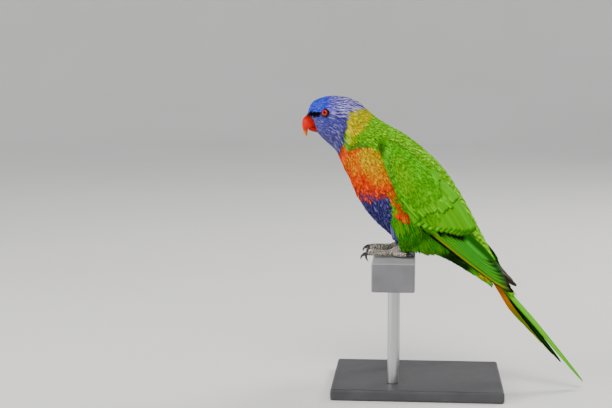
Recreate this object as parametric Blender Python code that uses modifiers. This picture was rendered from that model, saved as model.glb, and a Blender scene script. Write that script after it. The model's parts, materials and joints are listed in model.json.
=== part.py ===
"""A rainbow lorikeet, life size and still, gripping a short cut length of flat metal rail
on a plain display stand.  Metres, +Z up.  The bird faces -X and its left side faces -Y.
The origin is the middle of the underside of the stand's base."""

import math
import random
from collections import namedtuple

import bmesh
import bpy
from mathutils import Matrix, Vector

MM = 0.001

# Places are given in millimetres from the point on top of the rail between the feet.
# That point stands here, in metres, from the middle of the base's underside.
PERCH_X = -0.018
PERCH_TOP = 0.096

# Gap between two nodes that touch, in millimetres
GAP = 0.3

# Body sections from the bill's root to the tail's root, in millimetres: the point on the back
# line (x, z), the point on the breast line (x, z), the half width of the flesh and feathers,
# and the half width of the sheet that the folded wings lie on.
BODY_STATIONS = [
    (-61.5, 100.7, -55.4, 87.9, 5.6, 5.6),
    (-59.0, 107.2, -51.9, 84.4, 9.0, 9.0),
    (-54.0, 110.9, -47.6, 80.1, 11.6, 11.6),
    (-45.5, 113.0, -43.3, 76.6, 13.4, 13.4),
    (-34.8, 112.2, -39.7, 72.3, 14.2, 14.2),
    (-25.6, 108.7, -38.3, 67.7, 14.8, 16.0),
    (-9.9, 96.0, -31.8, 55.6, 18.0, 19.4),
    (12.1, 83.0, -24.6, 39.8, 20.4, 21.4),
    (33.5, 63.9, -12.3, 23.7, 20.8, 21.8),
    (48.6, 41.9, 9.2, 7.0, 18.8, 20.0),
    (61.7, 17.7, 35.7, -1.7, 14.5, 16.4),
    (71.9, -2.0, 57.9, -14.4, 9.0, 12.6),
    (80.7, -20.6, 74.4, -25.8, 5.0, 10.4),
    (95.0, -38.5, 91.0, -42.0, 3.5, 9.4),
]
HEAD_END = 4.9
NECK_END = 6.2
TORSO_END = 11.35
RING_POINTS = 28
WING_SHEET_POWER = 2.6

# Stations where the head's rings stand, closer together toward the bill
HEAD_RINGS = [0.0, 0.25, 0.6, 1.0, 1.5, 2.0, 2.5, 3.0, 3.5, 4.0, 4.45]
TORSO_STEPS = 17

# Eye
EYE_AT = (-49.2, 100.8)
EYE_RADIUS = 3.4
EYE_BULGE = 1.3
LID_RADIUS = 3.15
LID_THICKNESS = 0.8

# Bill, as pairs of points on its upper and lower edge with the half width between them.  Each
# half starts on the head's flat front, at shares of the way from chin to forehead.
BILL_POINTS = 16
BILL_FLATNESS = 3.2
UPPER_BILL_ROOT = (0.93, 0.22, 5.3)
LOWER_BILL_ROOT = (0.18, -0.02, 4.6)
UPPER_BILL = [
    (-64.3, 97.4, -57.9, 90.7, 5.2),
    (-65.3, 94.2, -59.6, 90.5, 4.5),
    (-65.2, 90.6, -60.9, 89.7, 3.4),
    (-64.2, 87.2, -61.2, 87.2, 2.1),
    (-62.5, 84.1, -61.8, 84.3, 0.5),
]
LOWER_BILL = [
    (-58.4, 90.1, -57.5, 87.3, 3.9),
    (-60.3, 89.5, -59.6, 87.9, 2.2),
]
CERE_AT = (-61.9, 0.0, 99.2)
CERE_RADII = (2.0, 4.6, 2.0)
NOSTRIL_AT = (-63.4, 2.3, 99.9)
NOSTRIL_RADIUS = 0.6

# Wings.  Places are (x, z) in the side view; heights are measured outward from the sheet that
# the folded wing lies on, in millimetres.
FEATHER_THICKNESS = 0.5
WING_CORE_HEIGHT = 3.4
WING_CORE_RIM = 0.9
SUNK_ROOT = 2.5
WING_SEED = 3
TIP_SPREAD = 0.35
WIDTH_SPREAD = 0.04
SHINGLE_TILT = -0.17
CAMBER = 0.12
FAR_WING_LIFT = 4.0
WING_LOWER_EDGE = [(-15.0, 73.0), (-7.0, 62.0), (-1.2, 48.5), (6.5, 36.0), (16.5, 25.0), (26.5, 16.8)]
WING_UPPER_EDGE = [(-14.0, 82.5), (-1.0, 80.0), (12.0, 72.5), (23.5, 63.0), (33.5, 52.0), (41.0, 40.0)]
PRIMARY_TIPS = [(86.0, -25.9), (83.6, -22.6), (79.8, -17.8), (74.6, -11.2), (68.8, -3.4)]
PRIMARY_ROOTS = [(22.5, 21.8), (25.3, 24.4), (28.1, 27.0), (30.9, 29.6), (33.7, 32.2)]
SECONDARY_TIPS = [(27.6, 20.0), (37.0, 17.2), (45.5, 15.0), (52.0, 15.2), (57.0, 18.4)]
GREATER_TIPS = [(17.6, 30.2), (26.5, 31.8), (34.5, 33.6), (40.5, 36.6), (44.8, 41.0)]
MEDIAN_TIPS = [(8.5, 42.0), (18.0, 43.6), (27.5, 47.0), (35.0, 52.6)]
PRIMARY_COVERT_TIPS = [(20.5, 24.6), (27.0, 20.4), (34.0, 16.0)]


def shifted(line, step):
    """The points of a line in the side view, all moved by one step."""
    return [(x + step[0], z + step[1]) for x, z in line]


# A row of like feathers: the lines that their tips and roots lie on, how many there are, their
# width, how much higher each lies than the one before, the height of a feather's middle over
# its length as (share of the length, height), its outline, the shares where it has points and
# its columns, how far it tilts to lie over the next, and the share of the far wing's lift
# that its tip takes.
FeatherRow = namedtuple(
    "FeatherRow", "name tips roots count width step_up rise outline stops columns tilt lifted")
LONG_STOPS = (0.0, 0.14, 0.38, 0.62, 0.84, 1.0)
SHORT_STOPS = (0.0, 0.2, 0.6, 0.88, 1.0)
SHORT_OUTLINE = (0.75, 0.3, 0.45)
WING_ROWS = [
    FeatherRow(
        "primary", PRIMARY_TIPS, PRIMARY_ROOTS, 5, 7.2, 0.8, [(0.0, 0.05), (0.14, 0.05), (1.0, 0.05)],
        (0.85, 0.14, 0.5), LONG_STOPS, 2, 0.0, (0.3, 1.0),
    ),
    FeatherRow(
        "secondary", SECONDARY_TIPS, shifted(GREATER_TIPS, (-6.0, 6.6)), 8, 7.8, -0.18,
        [(0.0, SUNK_ROOT), (0.17, 4.7), (1.0, 5.0)],
        (0.75, 0.3, 0.55), (0.0, 0.17, 0.6, 0.9, 1.0), 2, SHINGLE_TILT, (0.0, 0.4),
    ),
    FeatherRow(
        "greater_covert", GREATER_TIPS, shifted(GREATER_TIPS, (-13.6, 15.6)), 8, 7.0, -0.24,
        [(0.0, SUNK_ROOT), (0.2, 4.6), (0.72, 6.7), (1.0, 6.8)],
        SHORT_OUTLINE, SHORT_STOPS, 1, SHINGLE_TILT, (0.0, 0.0),
    ),
    FeatherRow(
        "median_covert", MEDIAN_TIPS, shifted(MEDIAN_TIPS, (-10.0, 11.4)), 7, 7.0, -0.3,
        [(0.0, SUNK_ROOT), (0.25, 4.6), (0.75, 6.3), (1.0, 6.5)],
        SHORT_OUTLINE, SHORT_STOPS, 1, SHINGLE_TILT, (0.0, 0.0),
    ),
    FeatherRow(
        "primary_covert", PRIMARY_COVERT_TIPS, shifted(PRIMARY_COVERT_TIPS, (-10.5, 11.6)), 4, 5.4, 0.9,
        [(0.0, 0.3), (0.3, 1.3), (1.0, 1.6)],
        SHORT_OUTLINE, SHORT_STOPS, 1, SHINGLE_TILT, (0.0, 0.0),
    ),
]

# Tail: its line passes through this point of the rump and runs along this direction in the
# side view.  Distances along it start at that point, and heights are square to it.
TAIL_LINE_AT = (70.0, -9.0)
TAIL_DIRECTION = (0.635, -0.7725)
TAIL_ROOT_RINGS = [
    ((78.6, -15.0), (70.6, -23.6), 7.2),
    ((82.0, -20.6), (77.2, -27.6), 6.4),
    ((85.4, -26.0), (83.2, -29.8), 4.4),
]
TAIL_FEATHER_ROOT = 5.2
TAIL_FEATHER_ENDS = [103.0, 92.0, 81.0, 66.0, 55.0, 45.0]
TAIL_FEATHER_WIDTH = 8.6
TAIL_FEATHER_STEP = 0.4
TAIL_FEATHER_DROP = 0.62
TAIL_ROOF = math.radians(22)
TAIL_FAN_LENGTH = 24.0
TAIL_ROOT_SPREAD = 2.1
TAIL_MIDDLE_GAP = 0.15
TAIL_CAMBER = 0.25
TAIL_TIP_DROOP = 1.0
TAIL_LAYER_ANGLE = math.radians(0.15)

# Coverts over and under the tail's root: the middle one's start and end as (along, height),
# how much each next one out is shorter and higher, and how far apart they start and end
TailCoverts = namedtuple(
    "TailCoverts", "name places start end shorter higher start_step end_step width roof")
TAIL_COVERTS = [
    TailCoverts("upper_covert", (-1, 0, 1), (4.6, 1.6), (27.0, 1.9), 2.0, -2.0, 2.6, 4.4, 6.6, 30),
    TailCoverts("under_covert", (-2, -1, 0, 1, 2), (4.6, -9.0), (22.0, -8.6), 1.5, 0.6, 2.2, 3.0, 6.4, -14),
]

# Legs and toes, given for the left side as (x, y, z, radius)
THIGH_PATH = [
    (17.5, -10.5, 19.0, 7.0), (14.2, -12.4, 14.4, 8.2), (10.4, -14.0, 10.5, 6.6), (7.4, -14.5, 7.6, 4.4),
]
SHANK_PATH = [
    (6.95, -14.5, 7.1, 3.0), (5.7, -14.5, 6.0, 3.0), (2.8, -14.6, 4.8, 3.0), (-0.6, -14.8, 3.5, 2.8),
    (-3.6, -15.2, 3.0, 2.2),
]
TOE_PATHS = {
    1: [(0.5, -13.6, 3.1, 2.3), (4.4, -10.8, 2.5, 2.0), (7.6, -9.4, 2.2, 1.7)],
    2: [
        (0.0, -14.0, 3.3, 2.4), (-7.0, -12.9, 2.9, 2.1), (-12.8, -12.6, 2.9, 1.9), (-16.6, -12.6, 2.5, 1.6),
    ],
    3: [
        (0.0, -15.6, 3.3, 2.4), (-7.0, -17.6, 3.0, 2.2), (-13.0, -18.4, 3.2, 1.9), (-17.2, -18.6, 3.0, 1.6),
    ],
    4: [(0.5, -15.6, 3.1, 2.3), (5.6, -19.0, 2.5, 2.0), (9.8, -20.8, 2.2, 1.7)],
}
CLAW_PATHS = {
    1: [
        (7.93, -9.26, 2.17, 1.3), (8.8, -8.9, 2.1, 1.25), (10.9, -8.2, 1.9, 0.95), (12.8, -7.7, 0.75, 0.35),
    ],
    2: [
        (-16.95, -12.6, 2.46, 1.3), (-17.9, -12.6, 2.3, 1.25), (-18.9, -12.6, 0.7, 1.0),
        (-18.6, -12.7, -1.4, 0.7), (-17.3, -12.8, -3.5, 0.3),
    ],
    3: [
        (-17.55, -18.6, 2.98, 1.3), (-18.7, -18.65, 2.9, 1.25), (-20.9, -18.7, 1.9, 1.0),
        (-22.0, -18.8, 0.6, 0.7), (-22.3, -18.9, -1.0, 0.3),
    ],
    4: [
        (10.13, -20.94, 2.17, 1.3), (11.0, -21.3, 2.1, 1.25), (13.0, -22.1, 1.9, 0.95),
        (14.8, -22.8, 0.75, 0.35),
    ],
}

# Rail and stand, in millimetres
RAIL_SIZE = (30.0, 92.0, 20.0)
RAIL_MIDDLE_X = 1.0
RAIL_ROUNDING = 1.2
RAIL_CAP = 2.5
CAP_INSET = 0.5
CAP_ROUNDING = 0.8
BASE_SIZE = (120.0, 96.0, 8.0)
BASE_ROUNDING = 1.5
ROD_RADIUS = 4.0
ROD_SPACING = 50.0


def place(x, y, z):
    """A point in metres, from millimetres measured at the top of the rail between the feet."""
    return Vector((PERCH_X + x * MM, y * MM, PERCH_TOP + z * MM))


def curve_value(rows, u):
    """A smooth curve through the rows, read at u, where row 0 is at u = 0."""
    last = len(rows) - 1
    u = min(max(u, 0.0), last)
    i = min(int(u), last - 1)
    t = u - i
    before, start, end, after = (rows[min(max(k, 0), last)] for k in (i - 1, i, i + 1, i + 2))
    return tuple(
        0.5 * (2 * b + (c - a) * t + (2 * a - 5 * b + 4 * c - d) * t * t + (3 * b - a - 3 * c + d) * t ** 3)
        for a, b, c, d in zip(before, start, end, after)
    )


def polyline_value(points, t):
    """A point at the share t of the way along a list of points, smoothed."""
    return curve_value(points, t * (len(points) - 1))


def section_ring(top, bottom, half_width, count=RING_POINTS, top_power=2.0, bottom_power=2.0):
    """A closed ring through two points of the mid-plane, as wide as twice the half width."""
    ring = []
    for k in range(count):
        angle = 2 * math.pi * k / count
        along, across = math.cos(angle), math.sin(angle)
        power = top_power if along > 0 else bottom_power
        along = math.copysign(abs(along) ** (2 / power), along)
        across = math.copysign(abs(across) ** (2 / power), across)
        x = (top[0] + bottom[0]) / 2 + along * (top[0] - bottom[0]) / 2
        z = (top[1] + bottom[1]) / 2 + along * (top[1] - bottom[1]) / 2
        ring.append(place(x, across * half_width, z))
    return ring


def body_ring(u, offset=0.0, grow=0.0):
    """The body's ring at station u, moved along the body by offset and grown all round."""
    bx, bz, fx, fz, width, _ = curve_value(BODY_STATIONS, u)
    length = math.hypot(bx - fx, bz - fz)
    ux, uz = (bx - fx) / length, (bz - fz) / length
    back = (bx + ux * grow + uz * offset, bz + uz * grow - ux * offset)
    front = (fx - ux * grow + uz * offset, fz - uz * grow - ux * offset)
    return section_ring(back, front, width + grow)


def wing_sheet_y(x, z, body=False):
    """How far from the mid-plane the wing sheet, or the body, lies at a point of the side view."""
    low, high = 5.0, len(BODY_STATIONS) - 1.0
    for _ in range(30):
        u = (low + high) / 2
        bx, bz, fx, fz, _, _ = curve_value(BODY_STATIONS, u)
        if (bx - fx) * (z - fz) - (bz - fz) * (x - fx) > 0:
            high = u
        else:
            low = u
    bx, bz, fx, fz, width, sheet = curve_value(BODY_STATIONS, u)
    t = ((x - fx) * (bx - fx) + (z - fz) * (bz - fz)) / ((bx - fx) ** 2 + (bz - fz) ** 2)
    off_middle = min(abs(2 * t - 1), 0.96)
    if body:
        return width * math.sqrt(1 - off_middle ** 2)
    return sheet * (1 - off_middle ** WING_SHEET_POWER) ** (1 / WING_SHEET_POWER)


def on_wing(x, z, height, side, body=False):
    """The point that stands out by a height from the wing sheet on one side of the bird."""
    step = 0.6
    y = wing_sheet_y(x, z, body)
    slope_x = (wing_sheet_y(x + step, z, body) - wing_sheet_y(x - step, z, body)) / (2 * step)
    slope_z = (wing_sheet_y(x, z + step, body) - wing_sheet_y(x, z - step, body)) / (2 * step)
    normal = Vector((-slope_x, 1.0, -slope_z)).normalized()
    return place(x + normal.x * height, side * (y + normal.y * height), z + normal.z * height)


def new_object(name, mesh, collection):
    """An object of the collection that holds a mesh."""
    thing = bpy.data.objects.new(name, mesh)
    collection.objects.link(thing)
    return thing


def mesh_object(name, points, faces, collection):
    """A closed mesh from its points and faces, with the faces turned outward."""
    mesh = bpy.data.meshes.new(name)
    mesh.from_pydata([tuple(p) for p in points], [], faces)
    shell = bmesh.new()
    shell.from_mesh(mesh)
    bmesh.ops.recalc_face_normals(shell, faces=shell.faces)
    shell.to_mesh(mesh)
    shell.free()
    return new_object(name, mesh, collection)


def loft(name, rings, collection):
    """A closed solid through rings of equal count, with flat ends."""
    count = len(rings[0])
    points = [p for ring in rings for p in ring]
    faces = [list(range(count)), [len(points) - count + k for k in range(count)]]
    for r in range(len(rings) - 1):
        for k in range(count):
            n = (k + 1) % count
            faces.append([r * count + k, r * count + n, (r + 1) * count + n, (r + 1) * count + k])
    return mesh_object(name, points, faces, collection)


def plain_mesh(thing):
    """Turn an object with modifiers, or a curve, into a mesh object with nothing live on it."""
    graph = bpy.context.evaluated_depsgraph_get()
    mesh = bpy.data.meshes.new_from_object(thing.evaluated_get(graph))
    if thing.type == "MESH":
        thing.modifiers.clear()
        thing.data = mesh
        return thing
    shell = bmesh.new()
    shell.from_mesh(mesh)
    bmesh.ops.remove_doubles(shell, verts=shell.verts, dist=0.000001)
    shell.to_mesh(mesh)
    shell.free()
    made = new_object(thing.name + "_mesh", mesh, thing.users_collection[0])
    made.matrix_world = thing.matrix_world
    bpy.data.objects.remove(thing)
    return made


def tube(name, path, collection):
    """A round limb through points (x, y, z, radius) in millimetres, thick as each radius says."""
    line = bpy.data.curves.new(name, "CURVE")
    line.dimensions = "3D"
    line.bevel_depth = MM
    line.bevel_resolution = 2
    line.use_fill_caps = True
    spline = line.splines.new("POLY")
    steps = 2
    samples = [curve_value(path, k / steps) for k in range((len(path) - 1) * steps + 1)]
    spline.points.add(len(samples) - 1)
    for point, (x, y, z, radius) in zip(spline.points, samples):
        point.co = (*place(x, y, z), 1.0)
        point.radius = radius
    return plain_mesh(new_object(name, line, collection))


def mirrored(path, side):
    """A path given for the left side, turned over for the right."""
    return [(x, -side * y, z, radius) for x, y, z, radius in path]


def largest_surface(thing):
    """Keep only the largest closed surface of a mesh."""
    shell = bmesh.new()
    shell.from_mesh(thing.data)
    left = set(shell.faces)
    islands = []
    while left:
        island = {left.pop()}
        edge_of_island = list(island)
        while edge_of_island:
            face = edge_of_island.pop()
            for edge in face.edges:
                for other in edge.link_faces:
                    if other in left:
                        left.remove(other)
                        island.add(other)
                        edge_of_island.append(other)
        islands.append(island)
    islands.sort(key=lambda faces: sum(face.calc_area() for face in faces))
    for island in islands[:-1]:
        bmesh.ops.delete(shell, geom=list(island), context="FACES")
    shell.to_mesh(thing.data)
    shell.free()


def combine(name, core, others, operation, collection, solver="EXACT"):
    """Join others to the core, or cut them out of it, and keep one closed body."""
    group = bpy.data.collections.new(name + "_" + operation.lower())
    bpy.context.scene.collection.children.link(group)
    for other in others:
        for old in other.users_collection:
            old.objects.unlink(other)
        group.objects.link(other)
    boolean = core.modifiers.new(operation.lower(), "BOOLEAN")
    boolean.operation = operation
    boolean.operand_type = "COLLECTION"
    boolean.collection = group
    boolean.solver = solver
    plain_mesh(core)
    for other in list(group.objects):
        bpy.data.objects.remove(other)
    bpy.data.collections.remove(group)
    largest_surface(core)
    core.name = name
    for old in core.users_collection:
        old.objects.unlink(core)
    collection.objects.link(core)
    return core


def finish(thing, colour, roughness=0.6, metallic=0.0):
    """Give a node its own material."""
    material = bpy.data.materials.new(thing.name)
    material.use_nodes = True
    shader = material.node_tree.nodes["Principled BSDF"]
    shader.inputs["Base Color"].default_value = (*colour, 1.0)
    shader.inputs["Roughness"].default_value = roughness
    shader.inputs["Metallic"].default_value = metallic
    thing.data.materials.clear()
    thing.data.materials.append(material)
    return thing


def vane(name, point_at, stops, columns, collection):
    """A thin closed blade.  point_at(s, c, face) gives the point at the share s of the length,
    the share c from -1 to 1 of the width, on the upper (+1) or lower (-1) face.  Both faces are
    split into triangles alike."""
    rows, per_row = len(stops), columns + 1
    points = []
    for face in (1, -1):
        for s in stops:
            for c in range(per_row):
                points.append(point_at(s, 2 * c / columns - 1, face))
    faces = sheet_faces(rows, per_row)
    return mesh_object(name, points, faces, collection)


def sheet_faces(rows, per_row):
    """Triangles of two like grids of points, one over the other, closed round the rim."""
    half = rows * per_row
    faces = []

    def quad(a, b, c, d):
        faces.extend(([a, b, c], [a, c, d]))

    for r in range(rows - 1):
        for c in range(per_row - 1):
            a = r * per_row + c
            for start in (a, half + a):
                quad(start, start + 1, start + per_row + 1, start + per_row)
    rim = list(range(per_row))
    rim += [r * per_row + per_row - 1 for r in range(1, rows)]
    rim += [(rows - 1) * per_row + c for c in range(per_row - 2, -1, -1)]
    rim += [r * per_row for r in range(rows - 2, 0, -1)]
    for a, b in zip(rim, rim[1:] + rim[:1]):
        quad(a, b, half + b, half + a)
    return faces


def blade_width(s, root, tip, roundness):
    """The share of a feather's full width at the share s of its length."""
    swell = root + (1 - root) * min(s / 0.45, 1.0)
    fade = 1 - max(0.0, (s - roundness) / (1 - roundness)) ** 2
    return swell * (tip + (1 - tip) * math.sqrt(max(fade, 0.0)))


def rise_at(rise, s):
    """The height at the share s of a feather's length, from pairs of share and height."""
    for (s0, h0), (s1, h1) in zip(rise, rise[1:]):
        if s <= s1:
            return h0 + (h1 - h0) * (s - s0) / (s1 - s0)
    return rise[-1][1]


def wing_feather(row, index, side, lift, draw, collection):
    """One feather of a row on the folded wing.  The draw varies its tip and width a little, as
    real feathers vary."""
    share = index / (row.count - 1)
    root = polyline_value(row.roots, share)
    tip = polyline_value(row.tips, share)
    tip = (
        tip[0] + lift * row.lifted[0] + draw.uniform(-1, 1) * TIP_SPREAD,
        tip[1] + lift * row.lifted[1] + draw.uniform(-1, 1) * TIP_SPREAD,
    )
    width = row.width * (1 + draw.uniform(-1, 1) * WIDTH_SPREAD)
    dx, dz = tip[0] - root[0], tip[1] - root[1]
    length = math.hypot(dx, dz)
    across = (-dz / length, dx / length)
    rise = [(s, height + row.step_up * index) for s, height in row.rise]
    rise[0] = (0.0, min(rise[0][1], SUNK_ROOT))

    def point_at(s, c, face):
        half = 0.5 * width * blade_width(s, *row.outline)
        x = root[0] + dx * s + across[0] * half * c
        z = root[1] + dz * s + across[1] * half * c
        height = rise_at(rise, s) + row.tilt * half * c + CAMBER * (1 - abs(c))
        return on_wing(x, z, height + face * FEATHER_THICKNESS / 2, side)

    return vane(f"{row.name}_{index}", point_at, row.stops, row.columns, collection)


def wing_core(side, collection):
    """The arm and the packed feather roots under the coverts, lying just off the body."""
    along, across = 8, 6
    points = []
    for outer in (True, False):
        for i in range(along + 1):
            for j in range(across + 1):
                a, b = i / along, j / across
                low = polyline_value(WING_LOWER_EDGE, a)
                high = polyline_value(WING_UPPER_EDGE, a)
                x, z = low[0] + (high[0] - low[0]) * b, low[1] + (high[1] - low[1]) * b
                if not outer:
                    points.append(on_wing(x, z, GAP + 0.1, side, body=True))
                    continue
                rim = min(b / 0.34, (1 - b) / 0.2, 1.0)
                nose = min(0.35 + a / 0.25, 1.0)
                full = WING_CORE_HEIGHT - WING_CORE_RIM
                height = WING_CORE_RIM + full * math.sin(rim * math.pi / 2) * nose
                points.append(on_wing(x, z, height, side))
    return mesh_object("wing_core", points, sheet_faces(along + 1, across + 1), collection)


def make_wing(name, side, lift, collection, workshop):
    """A folded wing: its core, five primaries, the secondaries, and three rows of coverts."""
    core = wing_core(side, workshop)
    draw = random.Random(WING_SEED)
    feathers = []
    for row in WING_ROWS:
        feathers += [wing_feather(row, index, side, lift, draw, workshop) for index in range(row.count)]
    return combine(name, core, feathers, "UNION", collection, "MANIFOLD")


def tail_point(along, height, out):
    """A point by its distance along the tail, its height square to that, and its place out."""
    x, z = TAIL_LINE_AT
    dx, dz = TAIL_DIRECTION
    return place(x + dx * along - dz * height, out, z + dz * along + dx * height)


def tail_feather(index, side, collection):
    """One of the twelve long, narrow, pointed tail feathers."""
    root, end = TAIL_FEATHER_ROOT, TAIL_FEATHER_ENDS[index]
    tucked = TAIL_ROOT_SPREAD + 0.25 * index
    spread = TAIL_FEATHER_WIDTH / 2 + TAIL_MIDDLE_GAP + TAIL_FEATHER_STEP * index
    gather = 0.46 if index == 0 else 0.3

    def point_at(s, c, face):
        along = root + (end - root) * s
        fan = min((along - root) / TAIL_FAN_LENGTH, 1.0)
        half = 0.5 * TAIL_FEATHER_WIDTH * (0.4 + 0.6 * fan) * blade_width(s, 1.0, 0.1, 0.25)
        middle = tucked + (spread - tucked) * fan - gather * TAIL_FEATHER_WIDTH * max(0.0, s - 0.25)
        across = middle + half * c
        raised = TAIL_CAMBER * (1 - abs(c)) * (1 - s) + face * FEATHER_THICKNESS / 2
        height = raised * math.cos(TAIL_ROOF) - across * math.sin(TAIL_ROOF) - TAIL_TIP_DROOP * s
        height -= index * (TAIL_FEATHER_DROP + math.tan(TAIL_LAYER_ANGLE) * (along - root))
        out = across * math.cos(TAIL_ROOF) + raised * math.sin(TAIL_ROOF)
        return tail_point(along, height, side * out)

    stops = (0.0, 0.15, 0.35, 0.58, 0.8, 0.93, 1.0)
    return vane(f"tail_feather_{index}_{side}", point_at, stops, 2, collection)


def tail_covert(group, out, collection):
    """A short soft feather over or under the root of the tail, so many places out from the
    middle one."""
    start = (*group.start, group.start_step * out)
    along, height = group.end
    end = (along - group.shorter * abs(out), height + group.higher * abs(out), group.end_step * out)
    slope = math.radians(group.roof * out)

    def point_at(s, c, face):
        along, height, across = (p + (q - p) * s for p, q in zip(start, end))
        half = 0.5 * group.width * blade_width(s, 0.8, 0.3, 0.4)
        height += -half * c * math.sin(slope) + face * FEATHER_THICKNESS / 2 * math.cos(slope)
        return tail_point(along, height, across + half * c * math.cos(slope))

    return vane(f"{group.name}_{out}", point_at, (0.0, 0.3, 0.65, 0.9, 1.0), 1, collection)


def make_tail(collection, workshop):
    """The tail's root, its twelve feathers in a roof, and the coverts over and under them."""
    rings = [body_ring(TORSO_END, GAP)]
    rings += [section_ring(top, bottom, half_width) for top, bottom, half_width in TAIL_ROOT_RINGS]
    core = loft("tail_core", rings, workshop)
    feathers = [tail_feather(k, side, workshop) for side in (-1, 1) for k in range(len(TAIL_FEATHER_ENDS))]
    feathers += [tail_covert(group, out, workshop) for group in TAIL_COVERTS for out in group.places]
    return combine("tail", core, feathers, "UNION", collection, "MANIFOLD")


def make_head(collection, workshop):
    """The head, with a raised lid round each eye and a socket behind it."""
    rings = [body_ring(u) for u in HEAD_RINGS] + [body_ring(HEAD_END, -GAP / 2)]
    head = loft("head", rings, workshop)
    lids, sockets = [], []
    for side in (-1, 1):
        centre, outward = eye_place(side)
        turn = outward.to_track_quat("Z", "Y").to_matrix().to_4x4()
        bpy.ops.mesh.primitive_torus_add(
            major_radius=LID_RADIUS * MM, minor_radius=LID_THICKNESS * MM,
            major_segments=16, minor_segments=6,
        )
        lid = bpy.context.active_object
        lid.matrix_world = Matrix.Translation(centre + outward * (EYE_RADIUS - EYE_BULGE - 0.1) * MM) @ turn
        lids.append(lid)
        bpy.ops.mesh.primitive_uv_sphere_add(segments=14, ring_count=8, radius=(EYE_RADIUS + GAP) * MM)
        socket = bpy.context.active_object
        socket.matrix_world = Matrix.Translation(centre) @ turn
        sockets.append(socket)
    head = combine("head", head, lids, "UNION", workshop)
    return combine("head", head, sockets, "DIFFERENCE", collection)


def eye_place(side):
    """The middle of an eyeball, and the way that it looks."""
    x, z = EYE_AT
    step = 0.6

    def y_at(px, pz):
        best = None
        for k in range(200):
            u = 4.9 * k / 200
            bx, bz, fx, fz, width, _ = curve_value(BODY_STATIONS, u)
            length = math.hypot(bx - fx, bz - fz)
            off_line = abs((bx - fx) * (pz - fz) - (bz - fz) * (px - fx)) / length
            if best is None or off_line < best[0]:
                t = ((px - fx) * (bx - fx) + (pz - fz) * (bz - fz)) / length ** 2
                best = (off_line, width * math.sqrt(max(0.0, 1 - (2 * t - 1) ** 2)))
        return best[1]

    slope_x = (y_at(x + 2 * step, z) - y_at(x - 2 * step, z)) / (4 * step)
    slope_z = (y_at(x, z + 2 * step) - y_at(x, z - 2 * step)) / (4 * step)
    outward = Vector((-slope_x, 1.0, -slope_z)).normalized()
    depth = EYE_RADIUS - EYE_BULGE
    centre = Vector((x, y_at(x, z), z)) - outward * depth
    outward.y *= side
    return place(centre.x, side * centre.y, centre.z), outward


def make_eye(name, side, collection):
    """An eyeball."""
    centre, outward = eye_place(side)
    bpy.ops.mesh.primitive_uv_sphere_add(segments=16, ring_count=10, radius=EYE_RADIUS * MM)
    eye = bpy.context.active_object
    eye.name = name
    eye.matrix_world = Matrix.Translation(centre) @ outward.to_track_quat("Z", "Y").to_matrix().to_4x4()
    for old in eye.users_collection:
        old.objects.unlink(eye)
    collection.objects.link(eye)
    return eye


def bill_root(share):
    """A point on the flat front of the head, a gap ahead of it, from chin (0) to forehead (1)."""
    bx, bz, fx, fz, _, _ = BODY_STATIONS[0]
    length = math.hypot(bx - fx, bz - fz)
    ux, uz = (bx - fx) / length, (bz - fz) / length
    return fx + (bx - fx) * share - uz * GAP, fz + (bz - fz) * share + ux * GAP


def bill_half(name, root, rows, top_power, bottom_power, collection):
    """Half of the bill, lofted from its root on the head through its rows."""
    top, bottom, half_width = root
    sections = [(bill_root(top), bill_root(bottom), half_width)]
    sections += [((tx, tz), (bx, bz), width) for tx, tz, bx, bz, width in rows]
    rings = [section_ring(*section, BILL_POINTS, top_power, bottom_power) for section in sections]
    return loft(name, rings, collection)


def make_bill(collection, workshop):
    """The hooked upper bill with its cere and nostrils, and the short lower bill under it."""
    upper = bill_half("bill_upper", UPPER_BILL_ROOT, UPPER_BILL, 2.0, BILL_FLATNESS, workshop)
    upper = combine("bill_upper", upper, [ball("cere", CERE_AT, CERE_RADII, workshop)], "UNION", workshop)
    x, y, z = NOSTRIL_AT
    cutters = [ball("nostril", (x, side * y, z), (NOSTRIL_RADIUS,) * 3, workshop) for side in (-1, 1)]
    cutters.append(face_clearance())
    upper = combine("bill_upper", upper, cutters, "DIFFERENCE", collection)
    lower = bill_half("bill_lower", LOWER_BILL_ROOT, LOWER_BILL, BILL_FLATNESS, 2.0, collection)
    return upper, lower


def face_clearance():
    """A block behind the head's flat front, to cut the bill off clear of it."""
    size = 20.0
    bpy.ops.mesh.primitive_cube_add(size=size * MM)
    block = bpy.context.active_object
    chin, middle, brow = bill_root(0.0), bill_root(0.5), bill_root(1.0)
    lean = math.atan2(brow[0] - chin[0], brow[1] - chin[1])
    block.matrix_world = (
        Matrix.Translation(place(middle[0], 0.0, middle[1])) @ Matrix.Rotation(lean, 4, "Y")
        @ Matrix.Translation((size / 2 * MM, 0.0, 0.0))
    )
    return block


def ball(name, at, radii, collection):
    """An ellipsoid at a place, with its half sizes in millimetres."""
    bpy.ops.mesh.primitive_uv_sphere_add(segments=12, ring_count=6, radius=1.0)
    thing = bpy.context.active_object
    thing.name = name
    thing.data.transform(Matrix.Diagonal((radii[0] * MM, radii[1] * MM, radii[2] * MM, 1.0)))
    thing.location = place(*at)
    return thing


def make_torso(collection):
    """The trunk, from the shoulders to the root of the tail."""
    rings = [body_ring(NECK_END, GAP / 2)]
    for k in range(1, TORSO_STEPS):
        rings.append(body_ring(NECK_END + (TORSO_END - NECK_END) * k / TORSO_STEPS))
    rings.append(body_ring(TORSO_END))
    return loft("torso", rings, collection)


def make_neck(collection):
    """The neck between the head and the trunk."""
    rings = [body_ring(HEAD_END, GAP / 2)]
    for share in (0.2, 0.4, 0.6, 0.8):
        rings.append(body_ring(HEAD_END + (NECK_END - HEAD_END) * share))
    rings.append(body_ring(NECK_END, -GAP / 2))
    return loft("neck", rings, collection)


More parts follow.
